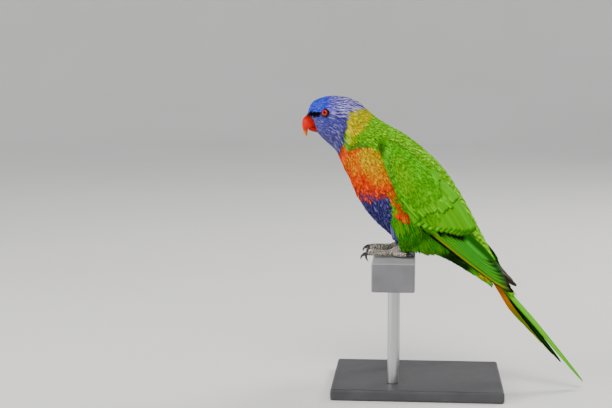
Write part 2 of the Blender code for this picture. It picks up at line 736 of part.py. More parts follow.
def make_thigh(name, side, collection, workshop):
    """The feathered thigh, cut clear of the trunk."""
    thigh = tube(name, mirrored(THIGH_PATH, side), workshop)
    stations = [NECK_END + (TORSO_END - NECK_END) * k / TORSO_STEPS for k in range(TORSO_STEPS + 1)]
    rings = [body_ring(u, grow=GAP + 0.1) for u in stations]
    clearance = loft("trunk_clearance", rings, workshop)
    return combine(name, thigh, [clearance], "DIFFERENCE", collection)


def make_foot(name, side, collection, workshop):
    """The scaled shank with two toes forward over the rail's edge and two behind."""
    shank = tube("shank", mirrored(SHANK_PATH, side), workshop)
    toes = [tube(f"toe_{k}", mirrored(path, side), workshop) for k, path in TOE_PATHS.items()]
    return combine(name, shank, toes, "UNION", collection)


def box(name, size, at, bevel, collection):
    """A box with rounded edges; size and the place of its middle are in millimetres."""
    bpy.ops.mesh.primitive_cube_add(size=1.0)
    thing = bpy.context.active_object
    thing.name = name
    thing.data.transform(Matrix.Diagonal((size[0] * MM, size[1] * MM, size[2] * MM, 1.0)))
    thing.location = place(*at)
    rounding = thing.modifiers.new("rounding", "BEVEL")
    rounding.width = bevel * MM
    rounding.segments = 2
    for old in thing.users_collection:
        old.objects.unlink(thing)
    collection.objects.link(thing)
    return thing


def make_rail(collection):
    """The cut length of flat rail, with a cap on each sawn end."""
    width, length, height = RAIL_SIZE
    rail = box("perch_rail", RAIL_SIZE, (RAIL_MIDDLE_X, 0.0, -height / 2), RAIL_ROUNDING, collection)
    caps = []
    for name, side in (("perch_cap_left", -1), ("perch_cap_right", 1)):
        middle = side * (length / 2 + GAP + RAIL_CAP / 2)
        size = (width - 2 * CAP_INSET, RAIL_CAP, height - 2 * CAP_INSET)
        caps.append(box(name, size, (RAIL_MIDDLE_X, middle, -height / 2), CAP_ROUNDING, collection))
    return rail, caps


def make_stand(collection):
    """The flat base on the floor and two short rods up to the rail."""
    floor = -PERCH_TOP / MM
    base_x = -PERCH_X / MM
    base = box("stand_base", BASE_SIZE, (base_x, 0.0, floor + BASE_SIZE[2] / 2), BASE_ROUNDING, collection)
    low = floor + BASE_SIZE[2] + GAP
    high = -RAIL_SIZE[2] - GAP
    rods = []
    for name, side in (("stand_rod_left", -1), ("stand_rod_right", 1)):
        depth = (high - low) * MM
        bpy.ops.mesh.primitive_cylinder_add(vertices=24, radius=ROD_RADIUS * MM, depth=depth)
        rod = bpy.context.active_object
        rod.name = name
        rod.location = place(RAIL_MIDDLE_X, side * ROD_SPACING / 2, (low + high) / 2)
        for old in rod.users_collection:
            old.objects.unlink(rod)
        collection.objects.link(rod)
        rods.append(rod)
    return base, rods


def main():
    for thing in list(bpy.data.objects):
        bpy.data.objects.remove(thing)
    bird = bpy.data.collections.new("rainbow_lorikeet")
    workshop = bpy.data.collections.new("cutters")
    for collection in (bird, workshop):
        bpy.context.scene.collection.children.link(collection)

    blue, green, red = (0.10, 0.10, 0.45), (0.10, 0.42, 0.02), (0.75, 0.12, 0.04)
    finish(make_head(bird, workshop), blue)
    for bill in make_bill(bird, workshop):
        finish(bill, red, 0.3)
    finish(make_neck(bird), (0.55, 0.60, 0.02))
    finish(make_torso(bird), (0.75, 0.25, 0.03))
    finish(make_tail(bird, workshop), (0.25, 0.55, 0.05))
    for word, side, lift in (("left", -1, 0.0), ("right", 1, FAR_WING_LIFT)):
        finish(make_eye(f"eye_{word}", side, bird), (0.6, 0.08, 0.02), 0.05)
        finish(make_wing(f"wing_{word}", side, lift, bird, workshop), green)
        finish(make_thigh(f"thigh_{word}", side, bird, workshop), (0.12, 0.38, 0.03))
        finish(make_foot(f"foot_{word}", side, bird, workshop), (0.20, 0.19, 0.17), 0.5)
        for number, path in CLAW_PATHS.items():
            claw = tube("claw", mirrored(path, side), bird)
            claw.name = f"claw_{word}_{number}"
            finish(claw, (0.02, 0.02, 0.02), 0.25)
    rail, caps = make_rail(bird)
    finish(rail, (0.25, 0.25, 0.26), 0.4, 0.9)
    for cap in caps:
        finish(cap, (0.03, 0.03, 0.03), 0.5)
    base, rods = make_stand(bird)
    finish(base, (0.04, 0.04, 0.04), 0.4)
    for rod in rods:
        finish(rod, (0.5, 0.5, 0.5), 0.3, 1.0)


main()
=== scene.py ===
"""The looks of a life-size rainbow lorikeet on a cut length of rail: one skin, its plumage,
flight feathers, bill, eyes, feet, and the finishes of rail and stand.  Shapes are worked out
in millimetres from the point on top of the rail between the feet, then set in the frame."""

import json
import math

import bmesh
import bpy
import numpy as np
from bpy.props import FloatProperty, FloatVectorProperty, IntProperty, PointerProperty
from bpy.types import Operator, Panel, PropertyGroup
from mathutils import Matrix, Vector
from mathutils.kdtree import KDTree

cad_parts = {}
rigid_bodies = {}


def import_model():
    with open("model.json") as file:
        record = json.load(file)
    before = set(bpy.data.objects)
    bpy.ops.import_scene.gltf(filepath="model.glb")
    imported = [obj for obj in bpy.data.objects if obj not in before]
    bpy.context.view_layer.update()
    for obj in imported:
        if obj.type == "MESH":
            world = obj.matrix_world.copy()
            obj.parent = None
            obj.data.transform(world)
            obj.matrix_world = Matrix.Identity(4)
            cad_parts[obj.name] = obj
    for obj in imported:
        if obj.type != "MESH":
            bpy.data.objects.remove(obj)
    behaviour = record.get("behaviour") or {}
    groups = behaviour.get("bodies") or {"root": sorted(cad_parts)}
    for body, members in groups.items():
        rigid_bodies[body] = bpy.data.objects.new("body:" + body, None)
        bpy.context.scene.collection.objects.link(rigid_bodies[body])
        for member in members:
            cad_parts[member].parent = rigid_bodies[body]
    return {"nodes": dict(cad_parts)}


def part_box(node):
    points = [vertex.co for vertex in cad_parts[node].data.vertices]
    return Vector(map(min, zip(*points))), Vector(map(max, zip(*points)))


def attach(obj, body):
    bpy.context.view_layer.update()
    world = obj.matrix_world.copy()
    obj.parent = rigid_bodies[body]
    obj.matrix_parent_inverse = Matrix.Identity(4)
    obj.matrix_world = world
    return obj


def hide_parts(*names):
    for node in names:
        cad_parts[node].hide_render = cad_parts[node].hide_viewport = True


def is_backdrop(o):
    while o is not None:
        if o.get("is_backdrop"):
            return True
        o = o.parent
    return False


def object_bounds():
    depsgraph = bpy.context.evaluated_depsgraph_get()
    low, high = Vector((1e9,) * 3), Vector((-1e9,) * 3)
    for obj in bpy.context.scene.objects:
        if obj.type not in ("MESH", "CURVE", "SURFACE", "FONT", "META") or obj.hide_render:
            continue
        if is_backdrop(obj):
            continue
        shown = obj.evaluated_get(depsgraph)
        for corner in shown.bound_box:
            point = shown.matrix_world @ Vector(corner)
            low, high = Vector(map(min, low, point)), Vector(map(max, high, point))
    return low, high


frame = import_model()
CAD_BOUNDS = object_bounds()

bl_info = {
    "name": "Rainbow Lorikeet Looks",
    "version": (1, 0, 0),
    "blender": (4, 5, 0),
    "location": "View3D > Sidebar > Lorikeet",
    "description": "Dresses the packed lorikeet in skin, feathers, horn and paint",
    "category": "Object",
}

MM = 0.001

# The point on top of the rail between the feet, in metres of the frame
PERCH_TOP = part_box("perch_rail")[1].z
PERCH_X = (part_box("perch_rail")[0].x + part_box("perch_rail")[1].x) / 2 - 1.0 * MM

# Body sections from the bill's root to the tail's root: the point on the back line (x, z), the
# point on the breast line (x, z), the half width of the plumage, and the half width of the
# sheet that the folded wings lie on
BODY_STATIONS = np.array([
    (-61.5, 100.7, -55.4, 87.9, 5.6, 5.6),
    (-59.0, 107.2, -51.9, 84.4, 9.0, 9.0),
    (-54.0, 110.9, -47.6, 80.1, 11.6, 11.6),
    (-45.5, 113.0, -43.3, 76.6, 13.4, 13.4),
    (-34.8, 112.2, -39.7, 72.3, 14.2, 14.2),
    (-25.6, 108.7, -38.3, 67.7, 14.8, 16.0),
    (-9.9, 96.0, -31.8, 55.6, 18.0, 19.4),
    (12.1, 83.0, -24.6, 39.8, 20.4, 21.4),
    (33.5, 63.9, -12.3, 23.7, 20.8, 21.8),
    (48.6, 41.9, 9.2, 7.0, 18.8, 20.0),
    (61.7, 17.7, 35.7, -1.7, 14.5, 16.4),
    (71.9, -2.0, 57.9, -14.4, 9.0, 12.6),
    (80.7, -20.6, 74.4, -25.8, 5.0, 10.4),
    (95.0, -38.5, 91.0, -42.0, 3.5, 9.4),
])
SKIN_END = 11.55
COAT_END = 11.25
WING_SHEET_POWER = 2.6

# Eye and bill
EYE_AT = (-47.9, 101.0)
EYE_RADIUS = 3.4
EYE_BULGE = 1.3
LID_RADIUS = 2.35
UPPER_BILL = np.array([
    (-57.9, 99.8, -53.4, 90.4, 6.0),
    (-61.6, 99.5, -56.6, 90.2, 5.5),
    (-64.3, 97.4, -58.4, 90.0, 5.1),
    (-65.3, 94.2, -60.0, 89.8, 4.5),
    (-65.2, 90.6, -61.1, 89.2, 3.4),
    (-64.2, 87.2, -61.4, 87.0, 2.1),
    (-62.5, 84.1, -61.8, 84.3, 0.5),
])
LOWER_BILL = np.array([
    (-54.6, 91.4, -51.6, 86.4, 5.2),
    (-57.6, 91.0, -55.6, 87.0, 4.5),
    (-59.8, 90.5, -58.2, 87.6, 3.2),
    (-60.9, 89.9, -60.2, 88.4, 1.1),
])
BILL_SIDE_SETBACK = 2.2
CERE_AT = (-60.9, 99.7)
CERE_HALF_WIDTH = 4.3
NOSTRIL_X = -62.6
NOSTRIL_Y = 2.3
NOSTRIL_RADIUS = 0.75

# Wings: places are (x, z) in the side view
WING_LOWER_EDGE = np.array([
    (-9.5, 75.0), (-4.4, 63.0), (1.2, 49.5), (8.4, 36.5), (17.3, 25.6), (26.5, 16.8),
])
WING_UPPER_EDGE = np.array([
    (-10.5, 82.5), (0.0, 80.0), (12.0, 72.5), (23.5, 63.0), (33.5, 52.0), (41.0, 40.0),
])
WING_CORE_HEIGHT = 3.0
FAR_WING_LIFT = 4.0
PRIMARY_TIPS = np.array([(86.0, -25.9), (83.6, -22.6), (79.8, -17.8), (74.6, -11.2), (68.8, -3.4)])
PRIMARY_ROOTS = np.array([(22.5, 21.8), (33.7, 32.2)])
SECONDARY_TIPS = np.array([
    (17.5, 26.0), (27.0, 22.0), (37.0, 20.2), (44.5, 18.3), (50.0, 17.4), (54.4, 18.0),
])
GREATER_TIPS = np.array([(17.6, 30.2), (26.5, 31.8), (34.0, 33.6), (39.0, 36.6), (42.4, 41.0)])
MEDIAN_TIPS = np.array([(11.5, 42.0), (18.0, 43.6), (27.0, 47.0), (33.0, 52.2)])
PRIMARY_COVERT_TIPS = np.array([(20.5, 24.6), (27.0, 20.4), (34.0, 16.0)])

# Tail: distances run along its line from a point on the rump
TAIL_LINE_AT = (70.0, -9.0)
TAIL_DIRECTION = (0.635, -0.7725)
TAIL_FEATHER_ROOT = 5.2
TAIL_FEATHER_ENDS = (105.0, 84.0, 76.0, 65.0, 55.0, 45.0)
TAIL_FEATHER_WIDTH = 8.6
TAIL_FEATHER_STEP = 0.4
TAIL_FEATHER_DROP = 0.62
TAIL_ROOF = math.radians(22)
TAIL_FAN_LENGTH = 24.0
TAIL_LAYER_ANGLE = math.radians(0.15)

# Legs and toes of the left side as (x, y, z, radius)
THIGH_PATH = np.array([
    (17.5, -10.5, 19.0, 7.0), (14.2, -12.4, 14.4, 8.2), (10.4, -14.0, 10.5, 6.6), (7.4, -14.5, 7.6, 4.4),
])
SHANK_PATH = np.array([
    (7.6, -14.4, 8.0, 2.8), (5.7, -14.5, 6.0, 2.9), (2.8, -14.6, 4.8, 2.9), (-0.6, -14.8, 3.5, 2.8),
    (-3.6, -15.2, 3.0, 2.2),
])
TOE_PATHS = {
    1: [(0.5, -13.6, 3.1, 2.3), (4.4, -10.8, 2.5, 2.0), (7.6, -9.4, 2.2, 1.7)],
    2: [(0.0, -14.0, 3.3, 2.4), (-7.0, -12.9, 2.9, 2.1), (-12.8, -12.6, 2.9, 1.9), (-16.6, -12.6, 2.5, 1.6)],
    3: [(0.0, -15.6, 3.3, 2.4), (-7.0, -17.6, 3.0, 2.2), (-13.0, -18.4, 3.2, 1.9), (-17.2, -18.6, 3.0, 1.6)],
    4: [(0.5, -15.6, 3.1, 2.3), (5.6, -19.0, 2.5, 2.0), (9.8, -20.8, 2.2, 1.7)],
}
CLAW_PATHS = {
    1: [(7.4, -9.5, 2.2, 1.3), (8.8, -8.9, 2.1, 1.25), (10.9, -8.2, 1.9, 0.95), (12.8, -7.7, 0.75, 0.3)],
    2: [
        (-16.3, -12.6, 2.5, 1.3), (-17.9, -12.6, 2.3, 1.25), (-18.9, -12.6, 0.7, 1.0),
        (-18.6, -12.7, -1.4, 0.7), (-17.3, -12.8, -3.5, 0.25),
    ],
    3: [
        (-16.9, -18.6, 3.0, 1.3), (-18.7, -18.65, 2.9, 1.25), (-20.9, -18.7, 1.9, 1.0),
        (-22.0, -18.8, 0.6, 0.7), (-22.3, -18.9, -1.0, 0.25),
    ],
    4: [
        (9.6, -20.75, 2.2, 1.3), (11.0, -21.3, 2.1, 1.25), (13.0, -22.1, 1.9, 0.95),
        (14.8, -22.8, 0.75, 0.3),
    ],
}

# The photo's view: the lens in millimetres, the camera's turns, and its place from the perch
CAMERA_LENS = 79.41
CAMERA_YAW = math.radians(4.7959)
CAMERA_PITCH = math.radians(6.5078)
CAMERA_AT = (17.906, -959.562, 145.333)

# Edges of the markings in the side view, each as two rows: places along one axis, and the edge
# there along the other
HEAD_REAR_AT_Z = ([71.8, 75.8, 78.8, 84.9, 87.8, 93.3, 100.2, 104.1, 106.0],
                  [-37.0, -33.3, -34.7, -34.0, -31.9, -31.2, -30.6, -24.3, -18.6])
COLLAR_REAR_AT_Z = ([84.0, 87.4, 93.1, 98.8, 104.5], [-29.0, -22.8, -18.6, -15.2, -17.0])
BREAST_TOP_AT_X = ([-38.5, -31.8, -24.0, -20.9, -12.0], [71.8, 75.3, 76.9, 78.1, 76.0])
BELLY_TOP_AT_X = ([-30.0, -23.8, -17.9, -13.4, -8.9, -2.5, 6.0],
                  [40.0, 39.2, 38.8, 41.7, 40.7, 44.3, 47.0])
# The scapulars' top line, along which pale painted highlights are flecked
RIDGE = [(-0.5, 83.2), (12.2, 77.9), (20.1, 73.5), (28.9, 67.7), (32.9, 58.4), (32.0, 49.6)]
HEM_AT_X = ([0.0, 1.3, 5.0, 8.1, 14.9, 23.8, 31.5, 38.0], [16.5, 15.3, 9.5, 4.6, 5.2, 3.8, 3.0, 4.6])
BELLY_REAR_AT_Z = ([0.0, 8.0, 16.1, 20.2, 23.8, 31.0, 34.6, 48.0],
                   [9.0, 4.0, 0.9, -0.5, -0.9, -0.2, -1.4, -3.0])


def linear(hex_text):
    """The linear colour of an sRGB hex value."""
    parts = [int(hex_text[k:k + 2], 16) / 255 for k in (1, 3, 5)]
    return tuple(p / 12.92 if p <= 0.04045 else ((p + 0.055) / 1.055) ** 2.4 for p in parts)


PALETTE = {name: np.array(linear(value)) for name, value in {
    "forehead": "#344EEE", "crown": "#5450EC", "violet": "#5452B0", "throat": "#4E4C8C",
    "hackle": "#D8CCFF", "nape": "#3A3788", "turquoise": "#3C88C4", "cheek_pale": "#7888E0",
    "lores": "#040408", "ear": "#2C3028", "gold": "#D6D000", "amber": "#F0B000", "lime": "#86C800",
    "moss": "#74C400", "pale_moss": "#98EA20", "teal": "#34683A", "scarlet": "#F42400",
    "orange": "#FF6800", "saffron": "#E8BA00", "ink": "#1C1A4C", "purple": "#363478",
    "dusk": "#6C66A4", "leaf": "#207C00", "fern": "#3A9A00", "olive": "#6A7C00", "back": "#92EC00",
    "back_deep": "#66C400", "wing": "#50AC00", "wing_deep": "#368E00", "wing_lime": "#52C800",
    "wing_streak": "#8CDC00", "sea": "#0C9C34", "navy": "#0A2A4C", "near_black": "#0A0E06",
    "straw": "#A4C000", "brown": "#26221C", "tail": "#62C400", "tail_ridge_highlight": "#A0E020",
    "tail_shade": "#3C9800", "rust": "#F07000", "tail_olive": "#88A000", "vent": "#58CC00",
    "painted_highlight": "#DCF478", "umber": "#3E302E", "ash": "#8C8278",
}.items()}


# Curves and surfaces, in millimetres

def curve_rows(rows, u):
    """A smooth curve through the rows, read at each u; row 0 is at u = 0."""
    rows = np.asarray(rows, float)
    last = len(rows) - 1
    u = np.clip(np.asarray(u, float), 0.0, last)
    i = np.minimum(u.astype(int), last - 1)
    t = (u - i)[..., None]
    a, b, c, d = (rows[np.clip(i + k, 0, last)] for k in (-1, 0, 1, 2))
    bend = (2 * a - 5 * b + 4 * c - d) * t * t + (3 * b - a - 3 * c + d) * t ** 3
    return 0.5 * (2 * b + (c - a) * t + bend)


def along_points(points, share):
    """Places at each share of the way along a few points, smoothed."""
    return curve_rows(points, np.asarray(share, float) * (len(points) - 1))


def smooth(low, high, value):
    """0 below low, 1 above high, and an even rise between."""
    t = np.clip((value - low) / (high - low), 0.0, 1.0)
    return t * t * (3 - 2 * t)


def unit(vectors):
    """Vectors at length one."""
    return vectors / np.maximum(np.linalg.norm(vectors, axis=-1, keepdims=True), 1e-9)


def in_frame(points):
    """Millimetres from the perch to metres of the frame."""
    return np.asarray(points, float) * MM + np.array((PERCH_X, 0.0, PERCH_TOP))


def body_surface(u, angle, depth):
    """The plumage's surface, or a layer below it.  The angle runs from the back line (0) by the
    right side to the breast line (half a turn)."""
    u, angle, depth = np.broadcast_arrays(np.asarray(u, float), angle, depth)
    rows = curve_rows(BODY_STATIONS, u)
    bx, bz, fx, fz, width = (rows[..., k] for k in range(5))
    half = np.hypot(bx - fx, bz - fz) / 2
    along = np.cos(angle) * (half - depth) / (2 * half)
    back_set = BILL_SIDE_SETBACK * np.clip(1 - u, 0, 1) * np.sin(angle) ** 2
    x = (bx + fx) / 2 + (bx - fx) * along + back_set
    z = (bz + fz) / 2 + (bz - fz) * along
    return np.stack((x, np.sin(angle) * (width - depth), z), -1)


def thigh_surface(t, angle, depth, side):
    """The thigh's plumage, from its top (t = 0) to the bare leg (t = 3)."""
    t, angle, depth = np.broadcast_arrays(np.asarray(t, float), angle, depth)
    rows = curve_rows(THIGH_PATH, t)
    step = 0.05
    axis = unit(curve_rows(THIGH_PATH, t + step)[..., :3] - curve_rows(THIGH_PATH, t - step)[..., :3])
    across = unit(np.cross(axis, np.broadcast_to((1.0, 0.0, 0.3), axis.shape)))
    other = np.cross(axis, across)
    radius = np.maximum(rows[..., 3] - depth, 0.2)[..., None]
    points = rows[..., :3] + radius * (np.cos(angle)[..., None] * across + np.sin(angle)[..., None] * other)
    points[..., 1] *= -side
    return points


def tangents(surface, u, v, step=0.01):
    """How far and which way the surface runs for a unit of u, and for a unit of v."""
    along = surface(u + step, v, 0.0) - surface(u - step, v, 0.0)
    round_ = surface(u, v + step, 0.0) - surface(u, v - step, 0.0)
    return along / (2 * step), round_ / (2 * step)


def outward(surface, u, v):
    """The surface's normal, pointing out."""
    normal = unit(np.cross(*tangents(surface, u, v, 0.02)))
    painted_shade = surface(u, v, 1.0) - surface(u, v, 0.0)
    return normal * -np.sign(np.sum(normal * painted_shade, -1, keepdims=True))


def station_at(x, z):
    """The body station whose section passes through a place of the side view."""
    low = np.full(np.shape(x), 5.0)
    high = np.full(np.shape(x), len(BODY_STATIONS) - 1.0)
    for _ in range(24):
        middle = (low + high) / 2
        rows = curve_rows(BODY_STATIONS, middle)
        bx, bz, fx, fz = (rows[..., k] for k in range(4))
        past = (bx - fx) * (z - fz) - (bz - fz) * (x - fx) > 0
        high = np.where(past, middle, high)
        low = np.where(past, low, middle)
    return (low + high) / 2


def sheet_y(x, z, body):
    """How far out the wing sheet, or the body, lies at a place of the side view."""
    rows = curve_rows(BODY_STATIONS, station_at(x, z))
    bx, bz, fx, fz, width, sheet = (rows[..., k] for k in range(6))
    t = ((x - fx) * (bx - fx) + (z - fz) * (bz - fz)) / ((bx - fx) ** 2 + (bz - fz) ** 2)
    off = np.minimum(np.abs(2 * t - 1), 0.96)
    if body:
        return width * np.sqrt(1 - off ** 2)
    return sheet * (1 - off ** WING_SHEET_POWER) ** (1 / WING_SHEET_POWER)


def on_wing(x, z, height, side, body=False):
    """The point that stands out by a height from the wing sheet on one side, and its normal."""
    x, z, height = np.broadcast_arrays(np.asarray(x, float), z, height)
    step = 0.6
    y = sheet_y(x, z, body)
    slope_x = (sheet_y(x + step, z, body) - sheet_y(x - step, z, body)) / (2 * step)
    slope_z = (sheet_y(x, z + step, body) - sheet_y(x, z - step, body)) / (2 * step)
    normal = unit(np.stack((-slope_x, np.ones_like(x), -slope_z), -1))
    points = np.stack((x, y, z), -1) + normal * height[..., None]
    turn = np.array((1.0, side, 1.0))
    return points * turn, normal * turn


def wing_cover(side):
    """The surface over one wing's coverts: a runs from the shoulder down and back, and b from the
    wing's front edge up to the back."""
    def surface(a, b, depth):
        a, b, depth = np.broadcast_arrays(np.asarray(a, float), b, depth)
        low = along_points(WING_LOWER_EDGE, np.clip(a, 0, 1))
        high = along_points(WING_UPPER_EDGE, np.clip(a, 0, 1))
        place = low + (high - low) * b[..., None]
        rise = np.interp(a - 0.22 * b, (-0.22, 0.02, 0.22, 0.5, 0.8), (1.2, 3.0, 4.6, 5.4, 4.7))
        rise = rise - 1.6 * b * a
        rim = np.clip(np.minimum(b / 0.22, (1.04 - b) / 0.26), 0.0, 1.0)
        height = 0.9 + (rise - 0.9) * np.sin(rim * math.pi / 2) - depth
        return on_wing(place[..., 0], place[..., 1], height, side)[0]
    return surface


def flank_cover(side):
    """The loose skirt of feathers over flank and thigh: u runs back from the belly and v from
    the wing's edge down to the hem."""
    middles = curve_rows(THIGH_PATH, np.linspace(0, 3, 13))

    def surface(u, v, depth):
        u, v, depth = np.broadcast_arrays(np.asarray(u, float), v, depth)
        x = -2.0 + 42.0 * u
        hem = edge_at(HEM_AT_X, x)
        top = np.interp(x, (-2.0, 6.0, 16.0, 27.0, 40.0), (34.0, 33.0, 26.0, 18.5, 9.0))
        z = top + (hem - top) * v
        y = sheet_y(x, z, True) + 0.4
        for mx, my, mz, radius in middles:
            off = np.hypot(x - mx, z - mz) / (radius + 0.5)
            y = np.maximum(y, -my + (radius + 0.5) * np.sqrt(np.clip(1 - off ** 2, 0, 1)))
        y = np.maximum(y, np.interp(x, (0.0, 8.0, 20.0, 40.0), (14.0, 17.0, 16.5, 12.0)))
        return np.stack((x, (y - depth) * side, z), -1)
    return surface


# Markings

def edge_at(edge, value):
    """Where an edge of the markings lies."""
    return np.interp(value, *edge)


def near_line(x, z, start, end):
    """The distance in the side view from a straight line between two places."""
    along = np.array(end, float) - start
    t = np.clip(((x - start[0]) * along[0] + (z - start[1]) * along[1]) / (along @ along), 0, 1)
    return np.hypot(x - start[0] - along[0] * t, z - start[1] - along[1] * t)


def mix(first, second, share):
    """Two colours, given or named in the palette, mixed by a share for each feather."""
    first, second = (PALETTE[c] if isinstance(c, str) else c for c in (first, second))
    return first + (second - first) * np.asarray(share)[..., None]


def near_path(x, z, path):
    """The distance in the side view from a line through several places."""
    return np.min([near_line(x, z, start, end) for start, end in zip(path, path[1:])], axis=0)


def where(test, first, second):
    """The first colour where a test holds, and the second elsewhere."""
    return np.where(np.asarray(test)[..., None], first, second)


def head_colours(x, z, chance):
    """Cobalt forehead, violet crown and cheeks, pale-streaked nape; and each hackle's streak."""
    rear = smooth(-50.0, -38.0, x)
    high = smooth(91.0, 102.0, z)
    tint = mix("throat", "violet", smooth(80.0, 97.0, z))
    tint = mix(tint, "crown", smooth(99.0, 104.0, z))
    tint = mix(tint, "nape", rear * high * smooth(0.45, 0.25, chance))
    tint = mix(tint, "forehead", smooth(-43.5, -48.0, x + 2.5 * chance) * smooth(99.0, 102.0, z))
    pale = smooth(-48.0, -35.0, x) * smooth(94.0, 103.0, z) * smooth(0.3, 0.7, chance)
    pale = pale + 0.3 * (chance > 0.78)
    streak = mix(tint * 1.15, PALETTE["hackle"], np.clip(pale, 0, 0.95))
    tint = mix(tint, "hackle", 0.7 * np.clip(pale, 0, 0.95))
    beside_bill = smooth(3.6, 1.0, near_line(x, z, (-56.0, 97.4), (-53.0, 89.0)))
    tint = mix(tint, "cheek_pale", 0.45 * beside_bill)
    tint = tint * (1 - 0.4 * (smooth(99.0, 96.0, z) * (chance < 0.35)))[..., None]
    under_eye = smooth(2.0, 0.8, near_line(x, z, (-50.8, 96.6), (-46.0, 96.0))) * (chance > 0.6)
    tint = mix(tint, "turquoise", 0.6 * under_eye)
    tint = mix(tint, "ear", 0.6 * smooth(2.2, 0.8, np.hypot(x + 42.7, z - 92.6)))
    dark = smooth(2.2, 1.3, near_line(x, z, (-61.0, 101.0), (-52.6, 99.9)))
    dark = np.maximum(dark, smooth(3.1, 2.6, np.hypot(x - EYE_AT[0], z - EYE_AT[1])))
    return mix(tint, "lores", dark), mix(streak, "lores", dark)


def breast_colours(x, z, chance):
    """Scarlet edges round a golden middle, each feather barred dark at its tip."""
    gold = smooth(1.12, 0.85, np.hypot((x + 12.4 + 0.3 * (z - 64)) / 10.2, (z - 65.5) / 15.0))
    light = smooth(1.3, 0.4, np.hypot((x + 26.5) / 8.5, (z - 66.0) / 10.0))
    paler = np.clip(0.35 + 0.7 * light + 0.6 * (chance - 0.4), 0, 1)
    tint = mix("scarlet", "orange", paler)
    warm = np.clip(gold * (0.9 + 0.3 * chance) + 0.6 * light * (chance > 0.6), 0, 1)
    deep = mix("saffron", "orange", 0.55 * smooth(68.0, 58.0, z + 6.0 * (chance - 0.5)))
    tint = mix(tint, deep, warm)
    barred = np.clip(smooth(52.0, 43.0, z) + smooth(-28.0, -34.0, x) * 0.5, 0, 1) * (1 - gold)
    tint = mix(tint, "purple", 0.85 * smooth(50.0, 42.0, z) * (chance < 0.42) * (1 - gold))
    rim = mix(tint, "orange", 0.3 * (1 - gold))
    return tint, mix(rim, "ink", 0.75 * barred * (chance > 0.35))


def wing_colours(x, z, chance):
    """Mid green over the arm, brighter toward the back and the flight feathers, with pale
    painted highlights flecked along the ridge."""
    across, along = 0.75 * x + 0.66 * z, 0.66 * x - 0.75 * z
    up = (across - 37.0) / 24.0
    wave = 1.4 * np.sin(0.23 * along) + 0.9 * np.sin(0.9 * across)
    lane = np.sin(2.6 * across + wave) + 1.2 * (chance - 0.5)
    tint = mix("wing_deep", "wing", smooth(-0.7, 0.3, up + 0.22 * lane))
    tint = mix(tint, "wing_lime", smooth(0.0, 0.9, up + 0.12 * lane))
    tint = mix(tint, "wing_streak", (0.2 + 0.3 * smooth(0.3, 1.3, lane)) * smooth(-0.7, 0.5, up))
    front = smooth(8.0, 3.0, near_line(x, z, (4.0, 66.0), (10.0, 52.0)))
    tint = mix(tint, "straw", 0.22 * front * (0.6 + 0.8 * chance))
    tint = mix(tint, "teal", 0.3 * smooth(2.4, 0.8, near_line(x, z, (-4.0, 73.0), (0.5, 53.5))))
    # Painted highlight: pale flecks of light on some feathers along the scapulars' top
    ridge = smooth(2.4, 0.8, near_path(x, z, RIDGE)) * (chance > 0.72)
    return mix(tint, "painted_highlight", 0.4 * ridge)


